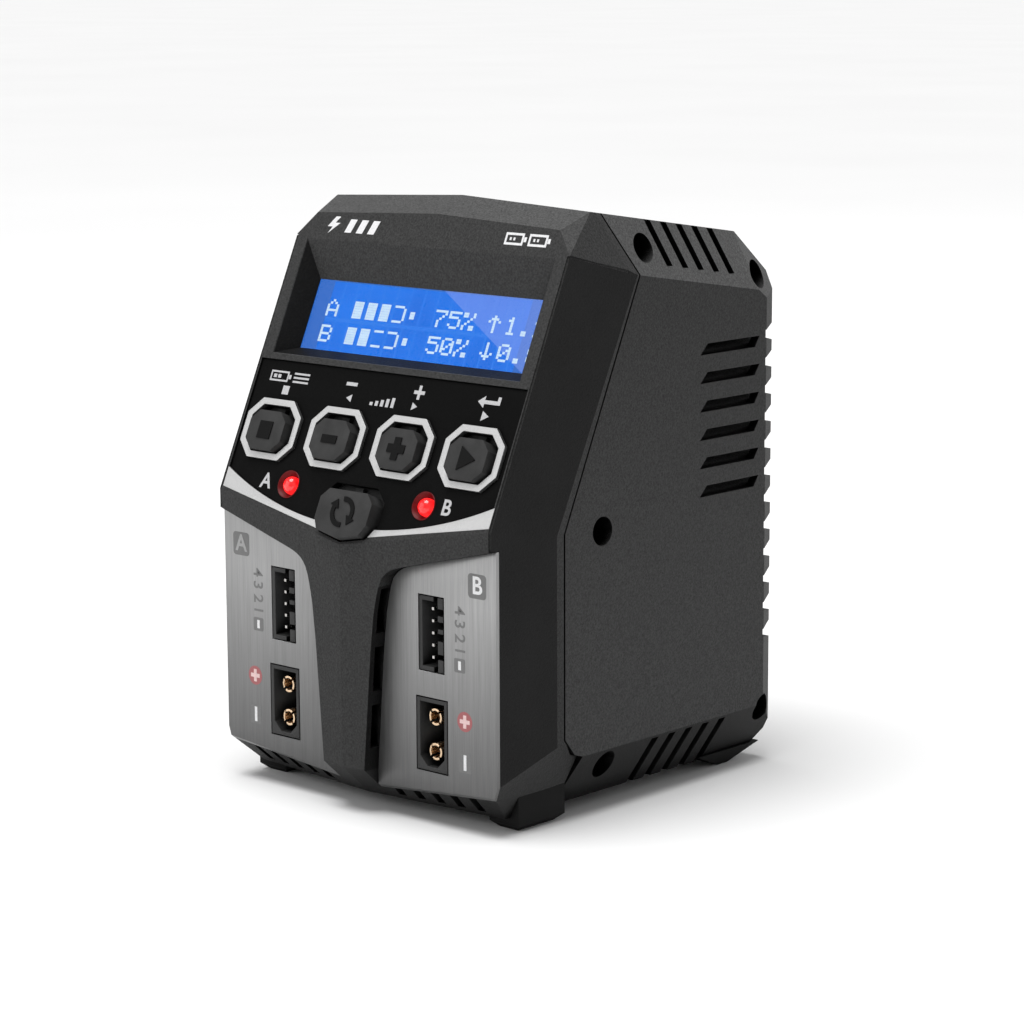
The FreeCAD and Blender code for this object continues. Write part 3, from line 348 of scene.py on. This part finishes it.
def clear_sheet(name, tint, gloss=0.02):
    """Thin clear window: lets light through, with a slight soft reflection on its outer faces."""
    g = Graph(name)
    smear = g.noise(0.01, 2.0)
    through = g.add("ShaderNodeBsdfTransparent", Color=tint)
    shine = g.add("ShaderNodeBsdfGlossy", Roughness=g.ramp(smear, 0.08, 0.14))
    inner = g.add("ShaderNodeNewGeometry").outputs["Backfacing"]
    mixed = g.add("ShaderNodeMixShader", Fac=g.math("MULTIPLY", g.math("SUBTRACT", 1.0, inner), gloss))
    g.tree.links.new(through.outputs[0], mixed.inputs[1])
    g.tree.links.new(shine.outputs[0], mixed.inputs[2])
    output = g.add("ShaderNodeOutputMaterial")
    g.tree.links.new(mixed.outputs[0], output.inputs[0])
    return g.material


def circuit_board():
    """Green solder mask with the raised tracks of a board under it."""
    g = Graph("board_green")
    tracks = g.add("ShaderNodeTexBrick", Vector=g.coords.outputs["Object"], Scale=260.0)
    tracks.inputs["Color1"].default_value = (0.004, 0.075, 0.025, 1)
    tracks.inputs["Color2"].default_value = (0.006, 0.095, 0.035, 1)
    tracks.inputs["Mortar"].default_value = (0.015, 0.16, 0.06, 1)
    tracks.inputs["Mortar Size"].default_value = 0.06
    speck = g.noise(0.0006, 2.0)
    colour = g.mix_colour(g.ramp(speck, 0.0, 0.3), tracks.outputs["Color"], (0.01, 0.05, 0.02, 1))
    return g.finish(colour, g.ramp(speck, 0.28, 0.4), g.bump(tracks.outputs["Fac"], 0.00002))


def display_blue():
    """Lit blue display with a faint grid of character cells, a duller border and a painted sheen in one corner."""
    g = Graph("display_blue")
    low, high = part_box("display_panel")
    low_v, high_v = (Vector((0, corner.y, corner.z)).dot(FACE_UP) for corner in (low, high))
    up = g.along(FACE_UP)
    height = g.math("DIVIDE", g.math("SUBTRACT", up, low_v), high_v - low_v)
    x = g.along(FACE_X)
    across = g.math("ABSOLUTE", g.math("DIVIDE", x, high.x))
    column = g.math("FRACT", g.math("DIVIDE", g.math("ADD", x, LCD_LEFT), LCD_PITCH))
    gap = g.math("LESS_THAN", g.math("ABSOLUTE", g.math("SUBTRACT", column, 0.5)), 0.44)
    line_gap = g.math("GREATER_THAN", g.math("ABSOLUTE", g.math("SUBTRACT", height, 0.47)), 0.02)
    cloud = g.noise(0.012, 1.0)
    cell = g.mix_colour(g.ramp(cloud, 0.0, 1.0), (0.003, 0.150, 0.72, 1), (0.004, 0.185, 0.82, 1))
    grid = g.mix_colour(g.all_of(gap, line_gap), (0.016, 0.20, 0.80, 1), cell)
    from_middle = g.math("ABSOLUTE", g.math("SUBTRACT", g.math("MULTIPLY", height, 2.0), 0.95))
    border = g.math("GREATER_THAN", g.math("MAXIMUM", across, from_middle), 0.86)
    lit = g.mix_colour(border, grid, (0.026, 0.144, 0.55, 1))
    # painted reflection: the paler corner beyond a slanting line stands for a sheen on the cover film
    slant = g.math("MULTIPLY", g.math("SUBTRACT", high_v, up), 1.75)
    sheen = g.math("GREATER_THAN", g.math("SUBTRACT", x, slant), 1.0 * MM)
    colour = g.mix_colour(g.math("MULTIPLY", sheen, 0.45), lit, (0.22, 0.34, 0.86, 1))
    return g.finish((0.002, 0.004, 0.015, 1), 0.6, Emission_Color=colour, Emission_Strength=1.0,
                    Specular_IOR_Level=0.03)


def glowing_ink(name, colour, strength):
    g = Graph(name)
    cloud = g.noise(0.002, 1.0)
    tint = g.mix_colour(g.ramp(cloud, 0.0, 1.0), tuple(c * 0.9 for c in colour[:3]) + (1,), colour)
    return g.finish((0.02, 0.03, 0.04, 1), 0.5, Emission_Color=tint, Emission_Strength=strength)


def ink(name, colour, roughness=0.45):
    """Printed ink, a little uneven."""
    g = Graph(name)
    cloud = g.noise(0.0004, 2.0)
    thin = tuple(c * 0.86 for c in colour[:3]) + (1,)
    tint = g.mix_colour(g.ramp(cloud, 0.0, 1.0), thin, colour)
    return g.finish(tint, g.ramp(cloud, roughness - 0.05, roughness + 0.05), g.bump(cloud, 0.000004))


def sleeve(name, colour):
    """Shrink sleeve or tape on an electronic part."""
    g = Graph(name)
    wrap = g.noise(0.003, 3.0, stretch=(1, 1, 0.3))
    dark = tuple(c * 0.7 for c in colour[:3]) + (1,)
    tint = g.mix_colour(g.ramp(wrap, 0.0, 1.0), dark, colour)
    return g.finish(tint, g.ramp(wrap, 0.22, 0.38), g.bump(wrap, 0.00003))


TOP_PAINTED_LIGHT = 0.082                # painted light: the lighter colour of the upward faces
HOLLOW_PAINTED_SHADE = 0.0045            # painted shade on the walls of the openings in the slanted face
SIDE_TOP, SIDE_FOOT = 108 * MM, 12 * MM      # heights between which the painted shade on the walls changes
FACE_ROW_V = 14.14               # button row above the foot of the slanted face, millimetres
LCD_PITCH = 3.95 * MM            # character columns
LCD_LEFT = 28.8 * MM             # left edge of the first column, left of the middle

MATERIALS = {
    "case_plastic": case_plastic("case_plastic", 0.036, 0.036, tilts=(0.1, 0.35, -0.05, -0.5),
                                 fade=(0.82, 1.28), hollows=(0.0065, 0.012, 0.62, 0.93)),
    "button_rubber": soft_rubber("button_rubber", 0.034, 0.6),
    "foot_rubber": soft_rubber("foot_rubber", 0.009, 0.75),
    "label_film": label_film(),
    "silver_trim": silver_trim(),
    "brushed_plate": brushed_plate(),
    "clear_lens": clear_sheet("clear_lens", (0.97, 0.98, 1.0, 1)),
    "fuse_glass": clear_sheet("fuse_glass", (0.9, 0.92, 0.9, 1)),
    "display_blue": display_blue(),
    "light_red": glowing_red(),
    "socket_black": grained_plastic("socket_black", 0.045, 0.5, 0.0002, 0.00001, 0.1),
    "contact_gold": metal("contact_gold", (0.86, 0.63, 0.42), 0.26),
    "pin_tin": metal("pin_tin", (0.6, 0.58, 0.56), 0.25),
    "board_green": circuit_board(),
    "screw_steel": metal("screw_steel", (0.16, 0.16, 0.17), 0.35),
    "heat_aluminium": metal("heat_aluminium", (0.66, 0.67, 0.68), 0.4, 0.0002),
    "core_ferrite": grained_plastic("core_ferrite", 0.035, 0.6, 0.0003, 0.00003),
    "winding_tape": sleeve("winding_tape", (0.72, 0.5, 0.05, 1)),
    "capacitor_sleeve": sleeve("capacitor_sleeve", (0.01, 0.015, 0.05, 1)),
    "part_black": grained_plastic("part_black", 0.02, 0.4, 0.0003, 0.00001),
    "fan_black": grained_plastic("fan_black", 0.016, 0.45, 0.0003, 0.00001),
    "frame_white": grained_plastic("frame_white", 0.75, 0.5, 0.0006, 0.00001),
}
INK_WHITE = ink("ink_white", (0.50, 0.50, 0.51, 1))
INK_BRIGHT = ink("ink_bright", (0.78, 0.78, 0.79, 1))
INK_PALE = ink("ink_pale", (0.34, 0.34, 0.34, 1))
INK_GREY = ink("ink_grey", (0.15, 0.15, 0.15, 1))
INK_RED = ink("ink_red", (0.36, 0.10, 0.105, 1))
INK_PINK = ink("ink_pink", (0.78, 0.55, 0.54, 1))
ICON_DARK = soft_rubber("icon_dark", 0.0025, 0.75)
# the case plastic again, as a copy with the front shell's own painted light and shade: near-black cheeks, walls
# lighter high up than low down
FRONT_SHELL_SHADED_PLASTIC = case_plastic("front_shell_shaded_plastic", 0.032, 0.0075, tilts=(0.5, 0.9, -0.42, -0.7),
                             fade=(1.12, 0.9), hollows=(0.0048, 0.02, 0.45, 0.85))
DOTS_LIT = glowing_ink("dots_lit", (0.58, 0.76, 0.90, 1), 1.0)
DISH_PAINTED_GLOW = dish_red()

# ---- CAD nodes: edges eased, materials given ---------------------------------------------------

# radius of the rounded edges in each material slot, millimetres
EDGE_EASE = {
    "case_plastic": 0.22, "button_rubber": 0.14, "foot_rubber": 0.4, "silver_trim": 0.1, "label_film": 0.04,
    "socket_black": 0.1, "fan_black": 0.2, "part_black": 0.15, "contact_gold": 0.06, "heat_aluminium": 0.1,
    "core_ferrite": 0.2, "screw_steel": 0.08, "brushed_plate": 0.04,
}
SHARP_ANGLE = math.radians(18)
WELD_DISTANCE = 0.002 * MM


def ease_edges(obj, width):
    """Merges the CAD facets and rounds the sharp edges over."""
    weld = obj.modifiers.new("weld", "WELD")
    weld.merge_threshold = WELD_DISTANCE
    bevel = obj.modifiers.new("bevel", "BEVEL")
    bevel.width = width * MM
    bevel.segments = 2
    bevel.limit_method = "ANGLE"
    bevel.angle_limit = SHARP_ANGLE
    bevel.harden_normals = True
    bevel.use_clamp_overlap = True
    bevel.loop_slide = True


for node_name, obj in NODES.items():
    slot = SLOT_OF[node_name]
    obj.data.materials.clear()
    obj.data.materials.append(FRONT_SHELL_SHADED_PLASTIC if node_name == "front_shell" else MATERIALS[slot])
    for face in obj.data.polygons:
        face.use_smooth = slot != "case_plastic"
    if slot in EDGE_EASE:
        ease_edges(obj, EDGE_EASE[slot])

# ---- flat prints and raised icons --------------------------------------------------------------


class Print:
    """Collects flat outlines and characters and makes one thin solid piece of them."""

    def __init__(self, name, material, matrix, body="case", thick=0.03):
        self.name, self.material, self.matrix, self.body = name, material, matrix, body
        self.thick = thick
        self.mesh = bmesh.new()

    def _take(self, curve, place):
        """Turns a flat curve into a thin solid and adds it to the piece."""
        curve.extrude = self.thick / 2 * MM
        temp = bpy.data.objects.new("temp", curve)
        bpy.context.scene.collection.objects.link(temp)
        bpy.context.view_layer.update()
        evaluated = temp.evaluated_get(bpy.context.evaluated_depsgraph_get())
        mesh = bpy.data.meshes.new_from_object(evaluated)
        mesh.transform(self.matrix @ place)
        self.mesh.from_mesh(mesh)
        bpy.data.objects.remove(temp)
        bpy.data.meshes.remove(mesh)

    def shape(self, outlines):
        """One or more closed outlines in millimetres; an outline inside another is a hole."""
        curve = bpy.data.curves.new("outline", "CURVE")
        curve.dimensions = "2D"
        curve.fill_mode = "BOTH"
        for outline in outlines:
            spline = curve.splines.new("POLY")
            spline.points.add(len(outline) - 1)
            for point, (px, py) in zip(spline.points, outline):
                point.co = (px * MM, py * MM, 0, 1)
            spline.use_cyclic_u = True
        self._take(curve, Matrix.Identity(4))
        return self

    def text(self, words, size, x, y, turn=0.0, bold=0.0):
        """Characters centred on a point; size, place and boldness in millimetres."""
        curve = bpy.data.curves.new("text", "FONT")
        curve.body = words
        curve.size = size * MM
        curve.offset = bold * MM
        curve.align_x = "CENTER"
        curve.align_y = "CENTER"
        self._take(curve, Matrix.Translation((x * MM, y * MM, 0)) @ Matrix.Rotation(turn, 4, "Z"))
        return self

    def finish(self):
        bmesh.ops.remove_doubles(self.mesh, verts=self.mesh.verts, dist=1e-7)
        bmesh.ops.recalc_face_normals(self.mesh, faces=self.mesh.faces)
        data = bpy.data.meshes.new(self.name)
        self.mesh.to_mesh(data)
        self.mesh.free()
        data.materials.append(self.material)
        obj = bpy.data.objects.new(self.name, data)
        bpy.context.scene.collection.objects.link(obj)
        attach(obj, self.body)
        return obj


def rectangle(x0, x1, y0, y1):
    return [(x0, y0), (x1, y0), (x1, y1), (x0, y1)]


def bar(cx, cy, width, height):
    return rectangle(cx - width / 2, cx + width / 2, cy - height / 2, cy + height / 2)


def rounded(cx, cy, width, height, radius, steps=5):
    points = []
    for corner, (sx, sy) in enumerate([(1, 1), (-1, 1), (-1, -1), (1, -1)]):
        for step in range(steps + 1):
            angle = math.pi / 2 * (corner + step / steps)
            points.append((cx + sx * (width / 2 - radius) + radius * math.cos(angle),
                           cy + sy * (height / 2 - radius) + radius * math.sin(angle)))
    return points


def circle(cx, cy, radius, steps=40):
    angles = [2 * math.pi * step / steps for step in range(steps)]
    return [(cx + radius * math.cos(angle), cy + radius * math.sin(angle)) for angle in angles]


def plus(cx, cy, reach, thick):
    r, t = reach / 2, thick / 2
    corners = [(t, t), (t, r), (-t, r), (-t, t), (-r, t), (-r, -t),
               (-t, -t), (-t, -r), (t, -r), (t, -t), (r, -t), (r, t)]
    return [(cx + x, cy + y) for x, y in corners]


def arc_arrow(radius, thick, start, sweep, head, steps=14):
    """Curved arrow about the origin, with its head at the end of the sweep; angles in degrees."""
    def at(distance, angle):
        return distance * math.cos(angle), distance * math.sin(angle)

    angles = [math.radians(start + sweep * step / steps) for step in range(steps + 1)]
    outer = [at(radius + thick / 2, angle) for angle in angles]
    inner = [at(radius - thick / 2, angle) for angle in angles]
    end, way = angles[-1], math.copysign(1, sweep)
    middle = at(radius, end)
    tip = (middle[0] - way * head * math.sin(end), middle[1] + way * head * math.cos(end))
    wide = thick / 2 + head * 0.45
    return outer + [at(radius + wide, end), tip, at(radius - wide, end)] + inner[::-1]


# ---- display contents: two lines of dot-matrix characters ---------------------------------------

# five columns by seven rows, top row first; u and d are arrows, and f, g, e and n draw the battery
GLYPHS = {
    "A": "..#.. .#.#. #...# #...# ##### #...# #...#",
    "B": "####. #...# #...# ####. #...# #...# ####.",
    "0": ".###. #...# #..## #.#.# ##..# #...# .###.",
    "1": "..#.. .##.. ..#.. ..#.. ..#.. ..#.. .###.",
    "2": ".###. #...# ....# ...#. ..#.. .#... #####",
    "5": "##### #.... ####. ....# ....# #...# .###.",
    "7": "##### ....# ...#. ..#.. .#... .#... .#...",
    "8": ".###. #...# #...# .###. #...# #...# .###.",
    "%": "##..# ##..# ...#. ..#.. .#... #..## #..##",
    ".": "..... ..... ..... ..... ..... .##.. .##..",
    "u": "..#.. .###. #.#.# ..#.. ..#.. ..#.. ..#..",
    "d": "..#.. ..#.. ..#.. ..#.. #.#.# .###. ..#..",
    "f": "####. ####. ####. ####. ####. ####. ####.",
    "e": "####. ....# ....# ....# ....# ....# ####.",
    "g": "####. ..... ..... ..... ..... ..... ####.",
    "n": "..... ..... ##... ##... ##... ..... .....",
    " ": "..... ..... ..... ..... ..... ..... .....",
}
DISPLAY_LINES = [("A fffen75%u1.2", 43.2), ("B ffgen50%d0.8", 37.45)]
COLUMN_OF = [0, 1, 2, 3, 4, 5, 6.2, 8, 9, 10, 11.8, 13, 14, 15]
DOT_X, DOT_Y = 0.68, 0.54        # pitch of the dots, millimetres
DOT_FILL = 0.93                  # share of the pitch that a dot covers
DOT_LIFT = 0.015 * MM
FIRST_COLUMN_X, SHOWN_HALF = -26.8, 31.6


def display_dots():
    """Every lit dot of the two lines, as small raised pads on the display panel."""
    matrix = face_matrix(0, 0, front_of("display_panel") - FACE_W + DOT_LIFT)
    dots = Print("display_dots", DOTS_LIT, matrix)
    outlines = []
    for words, middle_v in DISPLAY_LINES:
        for character, column in zip(words, COLUMN_OF):
            centre_x = FIRST_COLUMN_X + column * LCD_PITCH / MM
            for row, line in enumerate(GLYPHS[character].split()):
                for place, dot in enumerate(line):
                    if dot == "#":
                        x = centre_x + (place - 2) * DOT_X
                        y = middle_v - FACE_ROW_V + (3 - row) * DOT_Y
                        outlines.append(bar(x, y, DOT_X * DOT_FILL, DOT_Y * DOT_FILL))
    dots.shape([outline for outline in outlines if max(abs(x) for x, _ in outline) < SHOWN_HALF])
    return dots.finish()


display_dots()

# ---- marks on the slanted face -----------------------------------------------------------------

LABEL_W = front_of("keypad_label") - FACE_W
INK_LIFT = 0.018 * MM            # middle of the ink above the surface it is printed on


def battery(cx, cy, width, height, line=0.38, cells=2):
    """Outline of a battery with some cells filled."""
    outlines = [bar(cx, cy, width, height), bar(cx, cy, width - 2 * line, height - 2 * line),
                bar(cx + width / 2 + 0.45, cy, 0.7, height * 0.4)]
    step = (width - 4 * line) / 3
    for cell in range(cells):
        cell_x = cx - width / 2 + 2 * line + step * (cell + 0.5)
        outlines.append(bar(cell_x, cy, step - line, height - 4 * line))
    return outlines


def triangle(cx, cy, reach, way):
    back, tip, half = cx - way * reach / 2, cx + way * reach / 2, reach * 0.55
    return [(back, cy - half), (tip, cy), (back, cy + half)]


def label_marks():
    """Plain pictograms where the keypad is printed, and the two channel letters."""
    marks = Print("label_marks", INK_WHITE, face_matrix(0, 0, LABEL_W + INK_LIFT))
    upper, lower = 25.9 - FACE_ROW_V, 23.1 - FACE_ROW_V
    marks.shape(battery(-31.6, upper, 5.4, 2.3))
    marks.shape([bar(-25.0, upper + rise, 4.6, 0.42) for rise in (-0.9, 0, 0.9)])
    marks.shape([bar(-28.6, lower - 0.1, 1.9, 1.9)])
    marks.shape([bar(-9.9, upper + 0.2, 3.2, 0.75)])
    marks.shape([plus(9.5, upper + 0.2, 3.0, 0.75)])
    marks.shape([triangle(-9.7, lower, 1.5, -1)])
    marks.shape([triangle(9.2, lower, 1.5, 1)])
    marks.shape([bar(-3.0 + 1.5 * step, lower - 0.9 + (0.7 + 0.35 * step) / 2, 0.85, 0.7 + 0.35 * step)
                 for step in range(5)])
    marks.shape([[(25.8, upper), (27.6, upper + 1.25), (27.6, upper + 0.4), (31.0, upper + 0.4),
                  (31.0, upper + 1.3), (31.8, upper + 1.3), (31.8, upper - 0.4), (27.6, upper - 0.4),
                  (27.6, upper - 1.25)]])
    marks.shape([triangle(28.8, lower - 0.1, 1.9, 1)])
    for letter, x, v in (("A", -26.3, 3.1), ("B", 25.7, 3.4)):
        marks.text(letter, 4.6, x, v - FACE_ROW_V, bold=0.09)
    return marks.finish()


def brow_marks():
    """A plain bolt with three bars on the left of the brow, and a pair of batteries on the right."""
    marks = Print("brow_marks", INK_BRIGHT, face_matrix(0, 0, INK_LIFT))
    v = 60.0 - FACE_ROW_V
    bolt = [(-28.6, v + 1.9), (-30.4, v - 0.4), (-28.9, v - 0.4), (-29.8, v - 1.9),
            (-26.9, v + 0.5), (-28.4, v + 0.5), (-27.2, v + 1.9)]
    marks.shape([bolt])
    for number in range(3):
        x = -25.0 + 3.4 * number
        marks.shape([[(x, v - 1.5), (x + 1.9, v - 1.5), (x + 2.9, v + 1.5), (x + 1.0, v + 1.5)]])
    marks.shape(battery(23.2, v, 5.0, 2.6, 0.5, 2))
    marks.shape(battery(29.6, v, 5.0, 2.6, 0.5, 2))
    return marks.finish()


label_marks()
brow_marks()

# ---- icons on the buttons ----------------------------------------------------------------------

ICON_THICK = 0.24


def cap_face(node):
    """Middle of a button's outer face: across, up from the button row, out of the slanted face."""
    points = [v.co for v in NODES[node].data.vertices]
    top = max(point.dot(FACE_OUT) for point in points)
    outer = [point for point in points if point.dot(FACE_OUT) > top - 0.05 * MM]
    across = [point.x for point in outer]
    up = [point.dot(FACE_UP) for point in outer]
    return (min(across) + max(across)) / 2, (min(up) + max(up)) / 2 - ROW_V, top - FACE_W


def button_icon(key, outlines, lift=0.0):
    """Raised sign on a button's cap, drawn about the middle of the cap, or lifted a little above it."""
    node = "button_" + key
    x, v, w = cap_face(node)
    matrix = face_matrix(x, v + lift * MM, w + ICON_THICK * 0.42 * MM)
    icon = Print("icon_" + key, ICON_DARK, matrix, node, ICON_THICK)
    for outline in outlines:
        icon.shape([outline])
    return icon.finish()


button_icon("stop", [bar(0, 0, 3.8, 3.8)])
button_icon("dec", [bar(0, 0, 4.3, 1.7)])
button_icon("inc", [plus(0, 0, 4.8, 1.8)])
button_icon("start", [[(-1.7, -2.5), (2.6, 0), (-1.7, 2.5)]])
button_icon("channel", [arc_arrow(2.75, 1.0, start, -120, 1.7) for start in (100, 280)], 0.5)

# ---- painted glow in the dishes of the two indicator lights ------------------------------------

DISH_R, DISH_DEPTH, LENS_HOLE_R = 3.0, 2.0, 1.96


def dish_glow(letter):
    """Thin sheet of painted red glow on the wall and floor of a light's dish."""
    x, v, _ = cap_face("indicator_light_" + letter)
    outer, inner, rim = DISH_R - 0.02, DISH_R - 0.12, -0.12
    under, over = 0.03 - DISH_DEPTH, 0.10 - DISH_DEPTH
    section = [(outer, rim), (outer, under), (LENS_HOLE_R, under),
               (LENS_HOLE_R, over), (inner, over), (inner, rim)]
    steps = 48
    mesh = bmesh.new()
    loops = []
    for radius, height in section:
        loop = []
        for x_mm, y_mm in circle(0, 0, radius, steps):
            loop.append(mesh.verts.new((x_mm * MM, y_mm * MM, height * MM)))
        loops.append(loop)
    for ring, following in zip(loops, loops[1:] + loops[:1]):
        for step in range(steps):
            after = (step + 1) % steps
            mesh.faces.new((ring[step], ring[after], following[after], following[step]))
    bmesh.ops.recalc_face_normals(mesh, faces=mesh.faces)
    data = bpy.data.meshes.new("light_dish_" + letter)
    mesh.to_mesh(data)
    mesh.free()
    data.transform(face_matrix(x, v))
    data.materials.append(DISH_PAINTED_GLOW)
    for face in data.polygons:
        face.use_smooth = True
    obj = bpy.data.objects.new("light_dish_" + letter, data)
    bpy.context.scene.collection.objects.link(obj)
    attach(obj, "case")


dish_glow("a")
dish_glow("b")

# ---- marks on the output plates ----------------------------------------------------------------


PLATE_INK = 0.02                 # thickness of one layer of ink on the plates, millimetres
LOW_LAYER, HIGH_LAYER = 0.012, 0.034
BADGE_X, BADGE_Z = 34.2, 51.4
NUMBER_X = 29.3
NUMBERS_Z = {"4": 45.8, "3": 43.1, "2": 40.2, "1": 37.7}
MINUS_CELL_Z = 34.65             # the small negative sign at the foot of the column of numbers
SIGN_X, PLUS_Z, MINUS_Z = 30.6, 23.35, 14.9


def plate_marks(letter, side):
    """Channel badge, cell numbers and polarity signs, printed on one plate."""
    def layer(name, material, lift):
        matrix = plate_matrix(0, 0, lift * MM)
        return Print(name + "_" + letter.lower(), material, matrix, thick=PLATE_INK)

    badge_x, number_x, sign_x = side * BADGE_X, side * NUMBER_X, side * SIGN_X
    backs = layer("plate_backs", INK_GREY, LOW_LAYER)
    backs.shape([rounded(badge_x, BADGE_Z, 4.9, 5.0, 0.8)])
    backs.shape([rounded(number_x, MINUS_CELL_Z, 3.0, 2.9, 0.4)])
    backs.shape([rounded(sign_x, MINUS_Z, 3.3, 4.2, 0.3)])
    backs.finish()
    layer("plate_plus_back", INK_RED, LOW_LAYER).shape([circle(sign_x, PLUS_Z, 2.05)]).finish()
    layer("plate_plus", INK_PINK, HIGH_LAYER).shape([plus(sign_x, PLUS_Z, 2.7, 0.85)]).finish()
    light = layer("plate_signs", INK_BRIGHT, HIGH_LAYER)
    light.shape([bar(number_x, MINUS_CELL_Z, 0.75, 1.8)])
    light.shape([bar(sign_x, MINUS_Z, 0.75, 3.2)])
    light.finish()
    name = layer("plate_letter", INK_PALE if side < 0 else INK_BRIGHT, HIGH_LAYER)
    name.text(letter, 5.0, badge_x, BADGE_Z, bold=0.1).finish()
    numbers = layer("plate_numbers", INK_GREY, LOW_LAYER)
    for digit, z in NUMBERS_Z.items():
        numbers.text(digit, 3.9, number_x, z, turn=-math.pi / 2, bold=0.05)
    numbers.finish()


plate_marks("A", -1)
plate_marks("B", 1)

# ---- floor, light and camera -------------------------------------------------------------------


def emitter(name, place, target, width, height, power):
    """Rectangular lamp turned towards a target."""
    light = bpy.data.lights.new(name, "AREA")
    light.shape = "RECTANGLE"
    light.size = width
    light.size_y = height
    light.energy = power
    obj = bpy.data.objects.new(name, light)
    obj.location = place
    obj.rotation_euler = (Vector(target) - Vector(place)).to_track_quat("-Z", "Y").to_euler()
    bpy.context.scene.collection.objects.link(obj)


def floor():
    bpy.ops.mesh.primitive_plane_add(size=200.0)
    plane = bpy.context.object
    plane.name = "floor"
    g = Graph("floor")
    cloud = g.noise(0.3, 2.0)
    plane.data.materials.append(g.finish(g.mix_colour(g.ramp(cloud, 0.0, 1.0), grey(0.86), grey(0.88)), 0.9))


def sun(name, direction, strength, softness):
    """Distant lamp; the softness is its angle in degrees."""
    light = bpy.data.lights.new(name, "SUN")
    light.energy = strength
    light.angle = math.radians(softness)
    obj = bpy.data.objects.new(name, light)
    obj.rotation_euler = Vector(direction).to_track_quat("-Z", "Y").to_euler()
    bpy.context.scene.collection.objects.link(obj)


def studio_world():
    """Dim white surroundings for the light, plain white behind the floor."""
    world = bpy.data.worlds.new("studio")
    bpy.context.scene.world = world
    world.use_nodes = True
    tree = world.node_tree
    background = tree.nodes["Background"]
    background.inputs["Color"].default_value = (1, 1, 1, 1)
    path = tree.nodes.new("ShaderNodeLightPath")
    strength = tree.nodes.new("ShaderNodeMapRange")
    strength.inputs["To Min"].default_value = WORLD_LIGHT
    strength.inputs["To Max"].default_value = 1.0
    tree.links.new(path.outputs["Is Camera Ray"], strength.inputs["Value"])
    tree.links.new(strength.outputs[0], background.inputs["Strength"])


WORLD_LIGHT = 0.22
MIDDLE = (0, 0, 0.06)
floor()
studio_world()
sun("overhead", (0.05, 0.15, -1.0), 2.9, 40)
emitter("key", (-0.55, -0.80, 0.45), MIDDLE, 1.1, 0.9, 4.3)
emitter("right", (1.0, 0.35, 0.35), MIDDLE, 0.6, 0.6, 1.0)
emitter("back", (0.2, 1.1, 0.6), MIDDLE, 0.8, 0.8, 3.0)
bpy.context.scene.view_settings.view_transform = "Standard"

CAMERA_AZIMUTH, CAMERA_PITCH, CAMERA_ROLL = math.radians(42.48), math.radians(10.31), math.radians(-0.27)
CAMERA_PLACE = (0.43801, -0.47198, 0.17372)
camera_data = bpy.data.cameras.new("camera")
camera_data.lens = 107.53
camera_data.sensor_width = 36.0
camera_data.clip_start = 0.01
camera = bpy.data.objects.new("camera", camera_data)
look = Matrix.Rotation(CAMERA_AZIMUTH, 4, "Z") @ Matrix.Rotation(math.pi / 2 - CAMERA_PITCH, 4, "X")
camera.matrix_world = Matrix.Translation(CAMERA_PLACE) @ look @ Matrix.Rotation(CAMERA_ROLL, 4, "Z")
bpy.context.scene.collection.objects.link(camera)
bpy.context.scene.camera = camera
